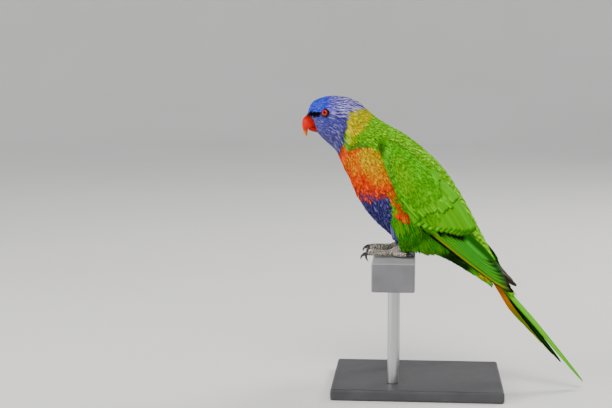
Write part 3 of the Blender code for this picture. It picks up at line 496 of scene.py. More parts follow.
def body_colours(x, y, z, chance):
    """Each feather's main colour and the second colour on its tip, by its place on the bird."""
    top = smooth(17.0, 5.0, np.abs(y))
    tint = mix("back_deep", "back", np.clip(top * 0.9 + 0.25 * chance, 0, 1))
    # Painted highlight: the same pale flecks along the scapulars' top
    tint = mix(tint, "painted_highlight", 0.4 * smooth(2.4, 0.8, near_path(x, z, RIDGE)) * (chance > 0.72))
    mantle = smooth(13.0, 6.0, near_line(x, z, (-27.0, 79.0), (-13.0, 88.0)))
    tint = mix(tint, mix("moss", "pale_moss", smooth(0.5, 0.9, chance)), 0.8 * mantle)
    edge = mix(tint, "wing_lime", 0.25)

    # The undertail's markings lie along and across the tail's own line
    tail_x, tail_z = TAIL_DIRECTION
    across = tail_x * (z + 8.0) - tail_z * (x - 50.0)
    along = tail_x * (x - 57.0) + tail_z * (z + 11.0)
    low = smooth(38.0, 22.0, z + 0.25 * x) * smooth(19.0, 15.0, across)
    flank = mix("leaf", "fern", chance)
    flank = mix(flank, "olive", 0.5 * (chance > 0.86))
    tint = mix(tint, flank, low)
    edge = mix(edge, flank * 1.2, low)
    # Painted shade: the vent below the primaries' lower edge is turned near black, as it lies in shade
    shaded = smooth(31.0, 39.0, x) * smooth(8.0, 2.0, z) * smooth(6.0, 2.0, across)
    tint = mix(tint, "near_black", 0.85 * shaded)
    edge = mix(edge, "near_black", 0.85 * shaded)
    vent = smooth(-3.0, 2.0, along) * smooth(0.0, -6.0, z)
    under = mix("vent", "leaf", 0.5 * (chance < 0.3))
    flame = mix("rust", "saffron", chance)
    tail_side = near_path(x, z, [(64.5, -12.6), (71.5, -17.2), (77.5, -24.0)])
    under = mix(under, flame, smooth(3.4, 2.2, tail_side))
    tint = mix(tint, under, vent)
    edge = mix(edge, under, vent)

    breast = (z < edge_at(BREAST_TOP_AT_X, x)) & (x < 1.5) & (z > edge_at(BELLY_TOP_AT_X, x))
    breast_tint, breast_edge = breast_colours(x, z, chance)
    tint, edge = where(breast, breast_tint, tint), where(breast, breast_edge, edge)
    above = z - edge_at(BREAST_TOP_AT_X, x)
    band = (above >= 0) & (above < 5.5) & (x < -17.0)
    dim = mix("teal", "moss", np.clip(0.1 + 0.14 * above + 0.4 * chance, 0, 1))
    tint, edge = where(band, dim, tint), where(band, dim, edge)
    belly = (z <= edge_at(BELLY_TOP_AT_X, x)) & (x < edge_at(BELLY_REAR_AT_Z, z))
    tint = where(belly, mix("purple", "dusk", 0.9 * chance ** 2), tint)
    edge = where(belly, mix("purple", "ink", chance), edge)

    upper = near_line(x, z, (-0.5, 45.0), (2.6, 36.0)) < 2.6
    patch = upper | (np.hypot((x - 7.0) / 5.8, (z - 27.6) / 7.0) < 1)
    flame = mix("scarlet", "orange", np.clip(chance + 0.5 * upper, 0, 1))
    flame = where(chance > np.where(upper, 0.72, 0.95), PALETTE["fern"], flame)
    tint, edge = where(patch, flame, tint), where(patch, flame * 1.05, edge)

    collar = (z > 85.5) & (x < edge_at(COLLAR_REAR_AT_Z, z))
    yellow = mix("gold", "amber", 0.5 * smooth(99.0, 93.0, z) * (chance > 0.6))
    yellow = mix(yellow, "lime", smooth(104.0, 108.0, z))
    tint, edge = where(collar, yellow, tint), where(collar, yellow, edge)
    speck = (z > 79.0) & (z <= 85.5) & (x < -26.0) & (chance > 0.3)
    speckled = mix("lime", "gold", chance ** 2)
    return where(speck, speckled, tint), where(speck, speckled, edge)


def markings(points, chance, spread):
    """The plumage's two colours at points of the bird; spread breaks up the edges between them."""
    x, y, z = (points[..., k] for k in range(3))
    x = x + spread * np.sin(chance * 917.0)
    z = z + spread * np.cos(chance * 613.0)
    tint, edge = body_colours(x, y, z, chance)
    head = (x < edge_at(HEAD_REAR_AT_Z, z)) & (z > edge_at(BREAST_TOP_AT_X, x))
    head_tint, head_edge = head_colours(x, z, chance)
    return where(head, head_tint, tint), where(head, head_edge, edge), head


# Meshes

def linked(name, data):
    """An object at the origin that shows some data in the scene."""
    thing = bpy.data.objects.new(name, data)
    bpy.context.scene.collection.objects.link(thing)
    return thing


def paint(mesh, key, values):
    """Give each point of a mesh a colour."""
    rgba = np.concatenate((values, np.ones((len(values), 1))), axis=1)
    layer = mesh.attributes.new(key, "FLOAT_COLOR", "POINT")
    layer.data.foreach_set("color", rgba.astype(np.float32).ravel())


def unwrap(mesh, key, values):
    """Give a mesh a UV map from a place for each point."""
    corners = np.zeros(len(mesh.loops), np.int32)
    mesh.loops.foreach_get("vertex_index", corners)
    layer = mesh.uv_layers.new(name=key)
    layer.uv.foreach_set("vector", np.asarray(values, np.float32)[corners].ravel())


def face_out(thing):
    """Turn every closed shell's faces outward."""
    shell = bmesh.new()
    shell.from_mesh(thing.data)
    bmesh.ops.recalc_face_normals(shell, faces=shell.faces)
    shell.to_mesh(thing.data)
    shell.free()
    return thing


def mesh_piece(name, points, faces, colours=None, maps=None):
    """A closed mesh at the origin from points in millimetres, with colours and UV maps by point."""
    mesh = bpy.data.meshes.new(name)
    mesh.from_pydata(in_frame(points).tolist(), [], [list(map(int, face)) for face in faces])
    for key, values in (colours or {}).items():
        paint(mesh, key, values)
    for key, values in (maps or {}).items():
        unwrap(mesh, key, values)
    mesh.shade_smooth()
    return face_out(linked(name, mesh))


def tube_faces(rings, count):
    """Faces of a closed tube through rings of points, with a flat end at each side."""
    r, k = np.meshgrid(np.arange(rings - 1), np.arange(count), indexing="ij")
    n = (k + 1) % count
    quads = np.stack((r * count + k, r * count + n, (r + 1) * count + n, (r + 1) * count + k), -1)
    faces = quads.reshape(-1, 4).tolist()
    faces.append(list(range(count)))
    faces.append([(rings - 1) * count + j for j in range(count)])
    return faces


def blade_parts(rows, columns):
    """Faces of a thin closed blade whose upper and lower grids share their rim, with the row,
    column and side of each point."""
    upper = np.arange(rows * (columns + 1)).reshape(rows, columns + 1)
    lower = upper.copy()
    inner = lower[1:-1, 1:-1]
    inner[...] = upper.size + np.arange(inner.size).reshape(inner.shape)
    row, column = (grid.ravel() for grid in np.indices(upper.shape))
    inner_row, inner_column = (grid.ravel() + 1 for grid in np.indices(inner.shape))
    faces = []
    for grid, turn in ((upper, 1), (lower, -1)):
        quads = np.stack((grid[:-1, :-1], grid[1:, :-1], grid[1:, 1:], grid[:-1, 1:]), -1).reshape(-1, 4)
        faces.append(quads[:, ::turn])
    side = np.concatenate((np.ones(upper.size), -np.ones(inner.size)))
    on_rim = (row == 0) | (row == rows - 1) | (column == 0) | (column == columns)
    side[:upper.size][on_rim] = 0.0
    row, column = np.concatenate((row, inner_row)), np.concatenate((column, inner_column))
    return np.concatenate(faces), row, column, side


def blade_outline(s, root, tip, roundness):
    """The share of a feather's full width at the share s of its length."""
    swell = root + (1 - root) * np.minimum(s / 0.45, 1.0)
    fade = 1 - np.maximum(0.0, (s - roundness) / (1 - roundness)) ** 2
    return swell * (tip + (1 - tip) * np.sqrt(np.maximum(fade, 0.0)))


class Batch:
    """Blades gathered for one mesh, each with its own strip of the bake map."""

    def __init__(self):
        self.points, self.faces, self.own, self.tint, self.edge = [], [], [], [], []
        self.count = 0

    def add(self, point_at, stops, columns, tint, edge):
        """Add a blade.  point_at(s, c, side) gives its points, with s along it from 0 at the root
        and c across it from -1 to 1; tint and edge are its colours, for all of it or by s and c."""
        faces, row, column, side = blade_parts(len(stops), columns)
        s = np.asarray(stops)[row]
        c = 2.0 * column / columns - 1
        self.points.append(point_at(s, c, side))
        self.faces.append(faces + self.count)
        self.count += len(s)
        self.own.append(np.stack(((c + 1) / 2, s), -1))
        for colour, kept in ((tint, self.tint), (edge, self.edge)):
            kept.append(colour(s, c) if callable(colour) else np.broadcast_to(colour, (len(s), 3)))

    def piece(self, name):
        """The mesh object of all the blades."""
        bake = []
        for index, own in enumerate(self.own):
            across, along = own.T
            strip = (index + 0.08 + 0.84 * across) / len(self.own)
            bake.append(np.stack((strip, 0.03 + 0.94 * along), -1))
        return mesh_piece(
            name, np.concatenate(self.points), np.concatenate(self.faces),
            {"tint": np.concatenate(self.tint), "edge": np.concatenate(self.edge)},
            {"feather": np.concatenate(self.own), "OFBake": np.concatenate(bake)},
        )


def tube_points(path, count, sides, shape=None):
    """Rings of points round a path of (x, y, z, radius); shape(t, angle) scales the radius."""
    t = np.linspace(0, len(path) - 1, count)
    rows = curve_rows(path, t)
    axis = unit(np.gradient(rows[:, :3], axis=0))
    guide = np.array((0.0, 1.0, 0.0)) if abs(axis[:, 1]).max() < 0.9 else np.array((0.0, 0.0, 1.0))
    side = unit(np.cross(axis, guide))
    lift = np.cross(side, axis)
    angle = np.linspace(0, 2 * math.pi, sides, endpoint=False)
    radius = np.repeat(rows[:, 3:4], sides, axis=1)
    if shape is not None:
        radius = radius * shape(np.repeat(t[:, None], sides, axis=1), angle[None, :])
    ring = np.cos(angle)[None, :, None] * side[:, None] + np.sin(angle)[None, :, None] * lift[:, None]
    return rows[:, None, :3] + radius[..., None] * ring


def join_closed(name, parts):
    """Unite closed mesh objects into one closed body."""
    core = parts[0]
    group = bpy.data.collections.new(name + "_parts")
    for other in parts[1:]:
        group.objects.link(other)
    boolean = core.modifiers.new("union", "BOOLEAN")
    boolean.operand_type = "COLLECTION"
    boolean.collection = group
    boolean.operation = "UNION"
    boolean.solver = "MANIFOLD"
    made = bpy.data.meshes.new_from_object(core.evaluated_get(bpy.context.evaluated_depsgraph_get()))
    core.modifiers.clear()
    core.data = made
    for other in parts[1:]:
        bpy.data.objects.remove(other)
    bpy.data.collections.remove(group)
    core.name = name
    core.data.name = name
    core.data.shade_smooth()
    return core


def seat(piece, slot, nodes, material=None):
    """Let a finished piece ride on the one body, in place of its nodes."""
    if material is not None:
        piece.data.materials.clear()
        piece.data.materials.append(material)
    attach(piece, "root")
    if nodes:
        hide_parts(*nodes)
    return piece


# Materials

def add_node(tree, kind, inputs=None, out=0, stops=(), **settings):
    """Add a node with its settings, and a colour ramp's stops.  Inputs maps a socket to a value
    or to another node's output.  Gives the output that out says, or the node where it's None."""
    made = tree.nodes.new(kind)
    for name, value in settings.items():
        setattr(made, name, value)
    for key, value in (inputs or {}).items():
        if isinstance(value, bpy.types.NodeSocket):
            tree.links.new(value, made.inputs[key])
        else:
            made.inputs[key].default_value = value
    if stops:
        elements = made.color_ramp.elements
        while len(elements) < len(stops):
            elements.new(1.0)
        for element, (place, colour) in zip(elements, stops):
            element.position = place
            element.color = (*colour, 1.0)
    return made if out is None else made.outputs[out]


def per_metre(size):
    """A texture's scale from the size in millimetres of what it draws."""
    return 1 / (size * MM)


def new_material(name, **constants):
    """A material whose shader has constant values on its own sockets, and its nodes."""
    material = bpy.data.materials.new(name)
    material.use_nodes = True
    tree = material.node_tree
    for key, value in constants.items():
        socket = key.replace("_", " ").title().replace("Ior", "IOR")
        tree.nodes["Principled BSDF"].inputs[socket].default_value = value
    return material, tree


def finished(material, **outputs):
    """The material, with outputs of its nodes linked to its shader's sockets."""
    tree = material.node_tree
    for key, output in outputs.items():
        tree.links.new(output, tree.nodes["Principled BSDF"].inputs[key.replace("_", " ").title()])
    return material


def feather_material(name, second_on, roughness, length, pitch, dark_root):
    """Keratin barbs on a shaft: dry and matt with hardly any gloss, so the pigment stays pure, and
    darker toward the root, partly for the dusky down there and partly as painted shade under the
    feathers over it.  second_on says where the second colour lies: on the rim of a contour feather,
    along the shaft of a hackle, or on the inner web of a flight feather.  Length and pitch are the
    feather's length and the gap between its barbs in millimetres."""
    material, tree = new_material(name, roughness=roughness, specular_ior_level=0.04)
    own = add_node(tree, "ShaderNodeUVMap", uv_map="feather")
    split = add_node(tree, "ShaderNodeSeparateXYZ", {0: own}, None).outputs
    across = add_node(tree, "ShaderNodeMath", {0: split[0], 1: 2.0, 2: -1.0}, operation="MULTIPLY_ADD")
    off_shaft = add_node(tree, "ShaderNodeMath", {0: across}, operation="ABSOLUTE")
    tint = add_node(tree, "ShaderNodeAttribute", out="Color", attribute_name="tint")
    edge = add_node(tree, "ShaderNodeAttribute", out="Color", attribute_name="edge")
    if second_on == "rim":
        tipward = add_node(tree, "ShaderNodeMath", {0: split[1], 1: split[1]}, operation="MULTIPLY")
        sideward = add_node(tree, "ShaderNodeMath", {0: off_shaft, 1: 0.95}, operation="MULTIPLY")
        spread = add_node(tree, "ShaderNodeMath", {0: sideward, 1: tipward}, operation="MAXIMUM")
        share = add_node(tree, "ShaderNodeMapRange", {0: spread, 1: 0.70, 2: 0.95})
    elif second_on == "shaft":
        share = add_node(tree, "ShaderNodeMapRange", {0: off_shaft, 1: 0.75, 2: 0.2})
    else:
        share = add_node(tree, "ShaderNodeMapRange", {0: across, 1: -0.3, 2: 0.14})
    colour = add_node(tree, "ShaderNodeMix", {0: share, 6: tint, 7: edge}, 2, data_type="RGBA")

    # Real barbs stand about 0.4 mm apart, too fine to show, so they are drawn coarser
    barbs = 2 * math.pi * length / pitch
    slant = add_node(
        tree, "ShaderNodeMath", {0: off_shaft, 1: -0.22, 2: split[1]}, operation="MULTIPLY_ADD")
    turn = add_node(tree, "ShaderNodeMath", {0: slant, 1: barbs}, operation="MULTIPLY")
    stripe = add_node(tree, "ShaderNodeMath", {0: turn}, operation="SINE")
    # Barbs clump in about six groups along a feather
    clump = add_node(tree, "ShaderNodeTexNoise", {"Vector": own, "Scale": 6.0, "Detail": 2.0})
    uneven = add_node(
        tree, "ShaderNodeMath", {0: clump, 1: 0.10, 2: 0.95}, operation="MULTIPLY_ADD")
    light = add_node(
        tree, "ShaderNodeMath", {0: stripe, 1: 0.04, 2: uneven}, operation="MULTIPLY_ADD")
    shaft = add_node(tree, "ShaderNodeMapRange", {0: off_shaft, 1: 0.0, 2: 0.05, 3: 0.92, 4: 1.0})
    # The root darkens, partly for the dusky down there and partly as painted shade under the feathers over
    # it
    root = add_node(tree, "ShaderNodeMapRange", {0: split[1], 1: 0.0, 2: 0.5, 3: dark_root, 4: 1.0})
    for dimmer in (root, shaft):
        light = add_node(tree, "ShaderNodeMath", {0: light, 1: dimmer}, operation="MULTIPLY")
    light = add_node(tree, "ShaderNodeCombineColor", {0: light, 1: light, 2: light})
    colour = add_node(
        tree, "ShaderNodeMix", {0: 1.0, 6: colour, 7: light}, 2, data_type="RGBA", blend_type="MULTIPLY")
    bump = add_node(
        tree, "ShaderNodeBump", {"Strength": 0.3, "Distance": 0.2 * MM, "Height": stripe})
    return finished(material, base_color=colour, normal=bump)


def skin_material():
    """Down between the feathers: the coat's own colours in shade, and quite matt.  Its tufts are
    drawn 1.11 mm across, coarser than real down, which wouldn't show."""
    material, tree = new_material("down covered skin", roughness=0.9)
    place = add_node(tree, "ShaderNodeTexCoord", out="Object")
    tint = add_node(tree, "ShaderNodeAttribute", out="Color", attribute_name="tint")
    fluff = add_node(
        tree, "ShaderNodeTexNoise", {"Vector": place, "Scale": per_metre(1.11), "Detail": 3.0})
    shade = add_node(
        tree, "ShaderNodeMath", {0: fluff, 1: 0.35, 2: 0.35}, operation="MULTIPLY_ADD")
    shade = add_node(tree, "ShaderNodeCombineColor", {0: shade, 1: shade, 2: shade})
    colour = add_node(
        tree, "ShaderNodeMix", {0: 1.0, 6: tint, 7: shade}, 2, data_type="RGBA", blend_type="MULTIPLY")
    bump = add_node(
        tree, "ShaderNodeBump", {"Strength": 0.5, "Distance": 0.4 * MM, "Height": fluff})
    return finished(material, base_color=colour, normal=bump)


def bill_material(tip, red, deep):
    """Polished horn: orange-red keratin, deeper at its root and honey yellow at the hook, with a
    soft gloss.  Its growth lines wander by patches 3.85 mm across."""
    material, tree = new_material(
        "bill horn keratin", roughness=0.36, coat_weight=0.08, coat_roughness=0.15,
        specular_ior_level=0.06)
    place = add_node(tree, "ShaderNodeTexCoord", out="Object")
    share = add_node(tree, "ShaderNodeAttribute", out="Fac", attribute_name="toward_tip")
    wander = add_node(
        tree, "ShaderNodeTexNoise", {"Vector": place, "Scale": per_metre(3.85), "Detail": 3.0})
    off = add_node(tree, "ShaderNodeMath", {0: wander, 1: 0.5}, operation="SUBTRACT")
    share = add_node(tree, "ShaderNodeMath", {0: off, 1: 0.16, 2: share}, operation="MULTIPLY_ADD")
    colour = add_node(tree, "ShaderNodeValToRGB", {"Fac": share}, stops=[
        (0.0, deep), (0.12, deep), (0.34, red), (0.70, red), (0.84, tip), (1.0, tip),
    ])
    bump = add_node(
        tree, "ShaderNodeBump", {"Strength": 0.12, "Distance": 0.3 * MM, "Height": wander})
    return finished(material, base_color=colour, normal=bump)


def eye_material(iris, rim):
    """Wet cornea, clear and glossy, over a scarlet iris, black pupil and dark rim.  The iris is
    flecked every 0.385 mm."""
    material, tree = new_material(
        "wet eye cornea", roughness=0.25, coat_weight=0.12, coat_roughness=0.02,
        specular_ior_level=0.15)
    place = add_node(tree, "ShaderNodeTexCoord", out="Object")
    off = add_node(tree, "ShaderNodeAttribute", out="Fac", attribute_name="off_axis")
    off = add_node(tree, "ShaderNodeMath", {0: off, 1: EYE_RADIUS}, operation="DIVIDE")
    fleck = add_node(
        tree, "ShaderNodeTexNoise", {"Vector": place, "Scale": per_metre(0.385), "Detail": 2.0})
    uneven = add_node(tree, "ShaderNodeMath", {0: fleck, 1: 0.5}, operation="SUBTRACT")
    share = add_node(tree, "ShaderNodeMath", {0: uneven, 1: 0.03, 2: off}, operation="MULTIPLY_ADD")
    black = linear("#030303")
    deep = tuple(0.4 * part for part in iris)
    colour = add_node(tree, "ShaderNodeValToRGB", {"Fac": share}, stops=[
        (0.0, black), (0.25, black), (0.30, deep), (0.38, iris), (0.57, iris), (0.62, rim), (1.0, rim),
    ])
    return finished(material, base_color=colour)


def scaly_material(name, light, dark, plate):
    """Dry scaled skin, dull as it has no oil: pale plates of a size in millimetres, stained in
    patches 3.13 mm across, with dark creases between them."""
    material, tree = new_material(name, roughness=0.55)
    place = add_node(tree, "ShaderNodeTexCoord", out="Object")
    cells = add_node(
        tree, "ShaderNodeTexVoronoi", {"Vector": place, "Scale": per_metre(plate)}, "Distance",
        feature="DISTANCE_TO_EDGE")
    crease = add_node(tree, "ShaderNodeMapRange", {0: cells, 1: 0.02, 2: 0.22})
    stain = add_node(
        tree, "ShaderNodeTexNoise", {"Vector": place, "Scale": per_metre(3.13), "Detail": 4.0})
    share = add_node(tree, "ShaderNodeMath", {0: crease, 1: stain}, operation="MULTIPLY")
    colour = add_node(
        tree, "ShaderNodeValToRGB", {"Fac": share}, stops=[(0.0, dark), (0.5, light), (1.0, light)])
    bump = add_node(
        tree, "ShaderNodeBump", {"Strength": 0.7, "Distance": 0.3 * MM, "Height": crease})
    return finished(material, base_color=colour, normal=bump)


def claw_material():
    """Black claw horn, worn smooth to a hard gloss, and a little browner in spots 1.11 mm
    across."""
    material, tree = new_material("black claw horn", roughness=0.22, coat_weight=0.4)
    place = add_node(tree, "ShaderNodeTexCoord", out="Object")
    stain = add_node(
        tree, "ShaderNodeTexNoise", {"Vector": place, "Scale": per_metre(1.11), "Detail": 3.0})
    colour = add_node(
        tree, "ShaderNodeValToRGB", {"Fac": stain},
        stops=[(0.3, linear("#0B0A0A")), (0.8, linear("#2C2926"))])
    return finished(material, base_color=colour)


def coated_surface(name, base, wear_and_highlight, roughness, grain):
    """A painted, coated or moulded skin: even colour and gloss, faintly mottled over 16.7 mm,
    paler where its edges are worn, with a fine texture of a grain in millimetres."""
    material, tree = new_material(name)
    place = add_node(tree, "ShaderNodeTexCoord", out="Object")
    mottle = add_node(
        tree, "ShaderNodeTexNoise", {"Vector": place, "Scale": per_metre(16.67), "Detail": 6.0})
    peel = add_node(
        tree, "ShaderNodeTexNoise", {"Vector": place, "Scale": per_metre(grain), "Detail": 2.0})
    point = add_node(tree, "ShaderNodeNewGeometry", out="Pointiness")
    edge = add_node(tree, "ShaderNodeMapRange", {0: point, 1: 0.52, 2: 0.60})
    wear = add_node(tree, "ShaderNodeMath", {0: edge, 1: mottle}, operation="MULTIPLY")
    paler = tuple(1.25 * part for part in base)
    colour = add_node(
        tree, "ShaderNodeValToRGB", {"Fac": mottle}, stops=[(0.3, base), (0.8, paler)])
    colour = add_node(
        tree, "ShaderNodeMix", {0: wear, 6: colour, 7: (*wear_and_highlight, 1.0)}, 2, data_type="RGBA")
    rough = add_node(tree, "ShaderNodeMapRange", {
        0: mottle, 1: 0.3, 2: 0.7, 3: roughness - 0.06, 4: roughness + 0.08,
    })
    bump = add_node(
        tree, "ShaderNodeBump", {"Strength": 0.15, "Distance": 0.2 * MM, "Height": peel})
    return finished(material, base_color=colour, roughness=rough, normal=bump)


def brushed_steel():
    """Round steel bar brushed along its length: streaks 33.3 mm long stretch the highlight.
    They are drawn 0.385 mm wide, as real ones are too fine to show."""
    material, tree = new_material(
        "brushed steel bar", metallic=1.0, base_color=(*linear("#B9BBBD"), 1.0))
    place = add_node(tree, "ShaderNodeTexCoord", out="Object")
    narrow, long = per_metre(0.385), per_metre(33.3)
    stretched = add_node(
        tree, "ShaderNodeMapping", {"Vector": place, "Scale": (narrow, narrow, long)})
    streak = add_node(
        tree, "ShaderNodeTexNoise", {"Vector": stretched, "Scale": 1.0, "Detail": 2.0})
    rough = add_node(tree, "ShaderNodeMapRange", {0: streak, 1: 0.3, 2: 0.7, 3: 0.26, 4: 0.42})
    bump = add_node(
        tree, "ShaderNodeBump", {"Strength": 0.1, "Distance": 0.1 * MM, "Height": streak})
    return finished(material, roughness=rough, normal=bump)


def floor_material():
    """Matt paper: pale, with no gloss and hardly a change of tone over 333 mm."""
    material, tree = new_material("matt studio paper", roughness=0.85)
    place = add_node(tree, "ShaderNodeTexCoord", out="Object")
    fibre = add_node(
        tree, "ShaderNodeTexNoise", {"Vector": place, "Scale": per_metre(333.3), "Detail": 2.0})
    colour = add_node(
        tree, "ShaderNodeValToRGB", {"Fac": fibre},
        stops=[(0.3, linear("#F4F3F0")), (0.8, linear("#FAF9F7"))])
    return finished(material, base_color=colour)


# Small feathers

def feather_shape(name, rows, columns, outline, camber, curl, thickness, notch, collection):
    """One small feather, a unit long and wide, lying along +X; notch draws in one point of its
    rim as where barbs part."""
    faces, row, column, side = blade_parts(len(rows), columns)
    s = np.asarray(rows)[row]
    c = 2.0 * column / columns - 1
    half = 0.5 * blade_outline(s, *outline)
    points = np.stack((s, half * c, camber * (1 - c * c) - curl * s * s + side * thickness), -1)
    nicked = (row == notch[0]) & (column == notch[1])
    points[nicked, 0] -= notch[2]
    mesh = bpy.data.meshes.new(name)
    mesh.from_pydata(points.tolist(), [], faces.tolist())
    unwrap(mesh, "feather", np.stack(((c + 1) / 2, s), -1))
    mesh.shade_smooth()
    collection.objects.link(bpy.data.objects.new(name, mesh))


def shape_sets():
    """The small feathers that the plumage draws on: contour feathers and narrow hackles."""
    contour = bpy.data.collections.new("contour_shapes")
    rows = (0.0, 0.42, 0.78, 1.0)
    for k, (outline, curl, notch) in enumerate((
        ((0.45, 0.34, 0.40), 0.12, (3, 2, 0.00)),
        ((0.50, 0.28, 0.35), 0.20, (3, 1, 0.08)),
        ((0.40, 0.38, 0.45), 0.05, (3, 3, 0.07)),
    )):
        feather_shape(f"contour_{k}", rows, 4, outline, 0.09, 0.6 * curl, 0.02, notch, contour)
    hackle = bpy.data.collections.new("hackle_shapes")
    rows = (0.0, 0.4, 0.75, 1.0)
    for k, (outline, curl) in enumerate((
        ((0.5, 0.20, 0.35), 0.15), ((0.6, 0.28, 0.30), 0.30), ((0.5, 0.16, 0.25), 0.0),
    )):
        feather_shape(f"hackle_{k}", rows, 2, outline, 0.07, 0.6 * curl, 0.05, (3, 1, 0.0), hackle)
    return contour, hackle


def plumage_tree():
    """Geometry Nodes that stand a feather on every point, turned along its lie, and give each the
    bake patch of its root."""
    tree = bpy.data.node_groups.new("plumage", "GeometryNodeTree")
    tree.interface.new_socket("Roots", in_out="INPUT", socket_type="NodeSocketGeometry")
    for name, kind, default in (
        ("Shapes", "NodeSocketCollection", None),
        ("Ruffle", "NodeSocketFloat", 0.05),
        ("Sway", "NodeSocketFloat", 0.08),
        ("Size Spread", "NodeSocketFloat", 0.12),
        ("Patch Size", "NodeSocketFloat", 0.003),
        ("Seed", "NodeSocketInt", 1),
        ("Finish", "NodeSocketMaterial", None),
    ):
        socket = tree.interface.new_socket(name, in_out="INPUT", socket_type=kind)
        if default is not None:
            socket.default_value = default
    tree.interface.new_socket("Plumage", in_out="OUTPUT", socket_type="NodeSocketGeometry")
    given = add_node(tree, "NodeGroupInput", out=None).outputs

    def stored(name, kind="FLOAT_VECTOR"):
        return add_node(
            tree, "GeometryNodeInputNamedAttribute", {"Name": name}, "Attribute", data_type=kind)

    def draw(offset, reach, middle=0.0):
        seed = add_node(
            tree, "ShaderNodeMath", {0: given["Seed"], 1: float(offset)}, operation="ADD")
        drawn = add_node(
            tree, "FunctionNodeRandomValue", {2: -1.0, 3: 1.0, "Seed": seed}, 1, data_type="FLOAT")
        return add_node(
            tree, "ShaderNodeMath", {0: drawn, 1: reach, 2: middle}, operation="MULTIPLY_ADD")

    along = add_node(
        tree, "FunctionNodeAlignRotationToVector", {"Vector": stored("aim")}, axis="X",
        pivot_axis="AUTO")
    upright = add_node(
        tree, "FunctionNodeAlignRotationToVector", {"Rotation": along, "Vector": stored("out")},
        axis="Z", pivot_axis="X")
    jitter = add_node(tree, "ShaderNodeCombineXYZ", {
        0: draw(3, 0.12), 1: draw(1, given["Ruffle"]), 2: draw(2, given["Sway"]),
    })
    jitter = add_node(tree, "FunctionNodeEulerToRotation", {0: jitter})
    turned = add_node(
        tree, "FunctionNodeRotateRotation", {"Rotation": upright, "Rotate By": jitter},
        rotation_space="LOCAL")
    size = add_node(tree, "ShaderNodeVectorMath", {
        0: stored("size"), "Scale": draw(4, given["Size Spread"], 1.0),
    }, operation="SCALE")
    shapes = add_node(tree, "GeometryNodeCollectionInfo", {
        "Collection": given["Shapes"], "Separate Children": True, "Reset Children": True,
    })
    stood = add_node(tree, "GeometryNodeInstanceOnPoints", {
        "Points": given["Roots"], "Instance": shapes, "Pick Instance": True,
        "Instance Index": stored("shape", "INT"), "Rotation": turned, "Scale": size,
    })
    real = add_node(tree, "GeometryNodeRealizeInstances", {"Geometry": stood})
    centred = add_node(
        tree, "ShaderNodeVectorMath", {0: stored("feather"), 1: (0.5, 0.5, 0.0)},
        operation="SUBTRACT")
    patch = add_node(
        tree, "ShaderNodeVectorMath", {0: centred, "Scale": given["Patch Size"]}, operation="SCALE")
    spot = add_node(tree, "ShaderNodeVectorMath", {0: stored("root_uv"), 1: patch}, operation="ADD")
    mapped = add_node(tree, "GeometryNodeStoreNamedAttribute", {
        "Geometry": real, "Name": "OFBake", "Value": spot,
    }, data_type="FLOAT2", domain="CORNER")
    dressed = add_node(
        tree, "GeometryNodeSetMaterial", {"Geometry": mapped, "Material": given["Finish"]})
    add_node(tree, "NodeGroupOutput", {"Plumage": dressed}, None)
    return tree


def grow(name, tree, roots, settings):
    """Stand feathers on root points by the plumage tree, and keep the plain mesh."""
    mesh = bpy.data.meshes.new(name)
    mesh.from_pydata(in_frame(roots["at"]).tolist(), [], [])
    for key, scale in (("aim", 1.0), ("out", 1.0), ("size", MM), ("root_uv", 1.0)):
        layer = mesh.attributes.new(key, "FLOAT_VECTOR", "POINT")
        layer.data.foreach_set("vector", (roots[key] * scale).astype(np.float32).ravel())
    for key in ("tint", "edge"):
        paint(mesh, key, roots[key])
    layer = mesh.attributes.new("shape", "INT", "POINT")
    layer.data.foreach_set("value", roots["shape"].astype(np.int32))
    thing = linked(name, mesh)
    modifier = thing.modifiers.new("plumage", "NODES")
    modifier.node_group = tree
    for item in tree.interface.items_tree:
        if item.in_out == "INPUT" and item.name in settings:
            modifier[item.identifier] = settings[item.name]
    graph = bpy.context.evaluated_depsgraph_get()
    made = bpy.data.meshes.new_from_object(thing.evaluated_get(graph))
    thing.modifiers.clear()
    thing.data = made
    made.name = name
    return thing


def scatter(surface, u_range, v_range, spacing_at, draws, rng):
    """Roots spread over a surface, no closer than their spacing.  Gives u, v and a chance."""
    u = rng.uniform(*u_range, draws)
    v = rng.uniform(*v_range, draws)
    area = np.linalg.norm(np.cross(*tangents(surface, u, v)), axis=-1)
    kept = rng.uniform(0, np.quantile(area, 0.98), draws) < area
    u, v = u[kept], v[kept]
    points = surface(u, v, 0.0)
    spacing = spacing_at(points)
    tree = KDTree(len(points))
    for k, point in enumerate(points):
        tree.insert(point, k)
    tree.balance()
    free = np.ones(len(points), bool)
    chosen = []
    for k in range(len(points)):
        if not free[k]:
            continue
        chosen.append(k)
        for _, other, _ in tree.find_range(points[k], spacing[k]):
            free[other] = False
    return u[chosen], v[chosen], rng.uniform(0, 1, len(chosen))


def inside(x, z, outline):
    """Which places of the side view lie inside an outline."""
    found = np.zeros(np.shape(x), bool)
    for (ax, az), (bx, bz) in zip(outline, np.roll(outline, -1, axis=0)):
        crosses = (az > z) != (bz > z)
        reach = (bx - ax) * (z - az) / (bz - az + 1e-12) + ax
        found ^= crosses & (x < reach)
    return found


def lay_feathers(surface, u, v, length, width, depth, lift, turn):
    """Roots sunk by a depth, tips on the surface farther along, and the size of each feather."""
    along, round_ = tangents(surface, u, v)
    reach = length / np.maximum(np.linalg.norm(along, axis=-1), 1.0)
    sideways = turn * length / np.maximum(np.linalg.norm(round_, axis=-1), 1.0)
    root = surface(u, v, depth)
    tip = surface(u + reach, v + sideways, -lift)
    aim = tip - root
    size = np.stack((np.linalg.norm(aim, axis=-1), width, width), -1)
    normal = outward(surface, u + reach / 2, v + sideways / 2)
    return {"at": root, "aim": unit(aim), "out": normal, "size": size, "seen": root + 0.78 * aim}


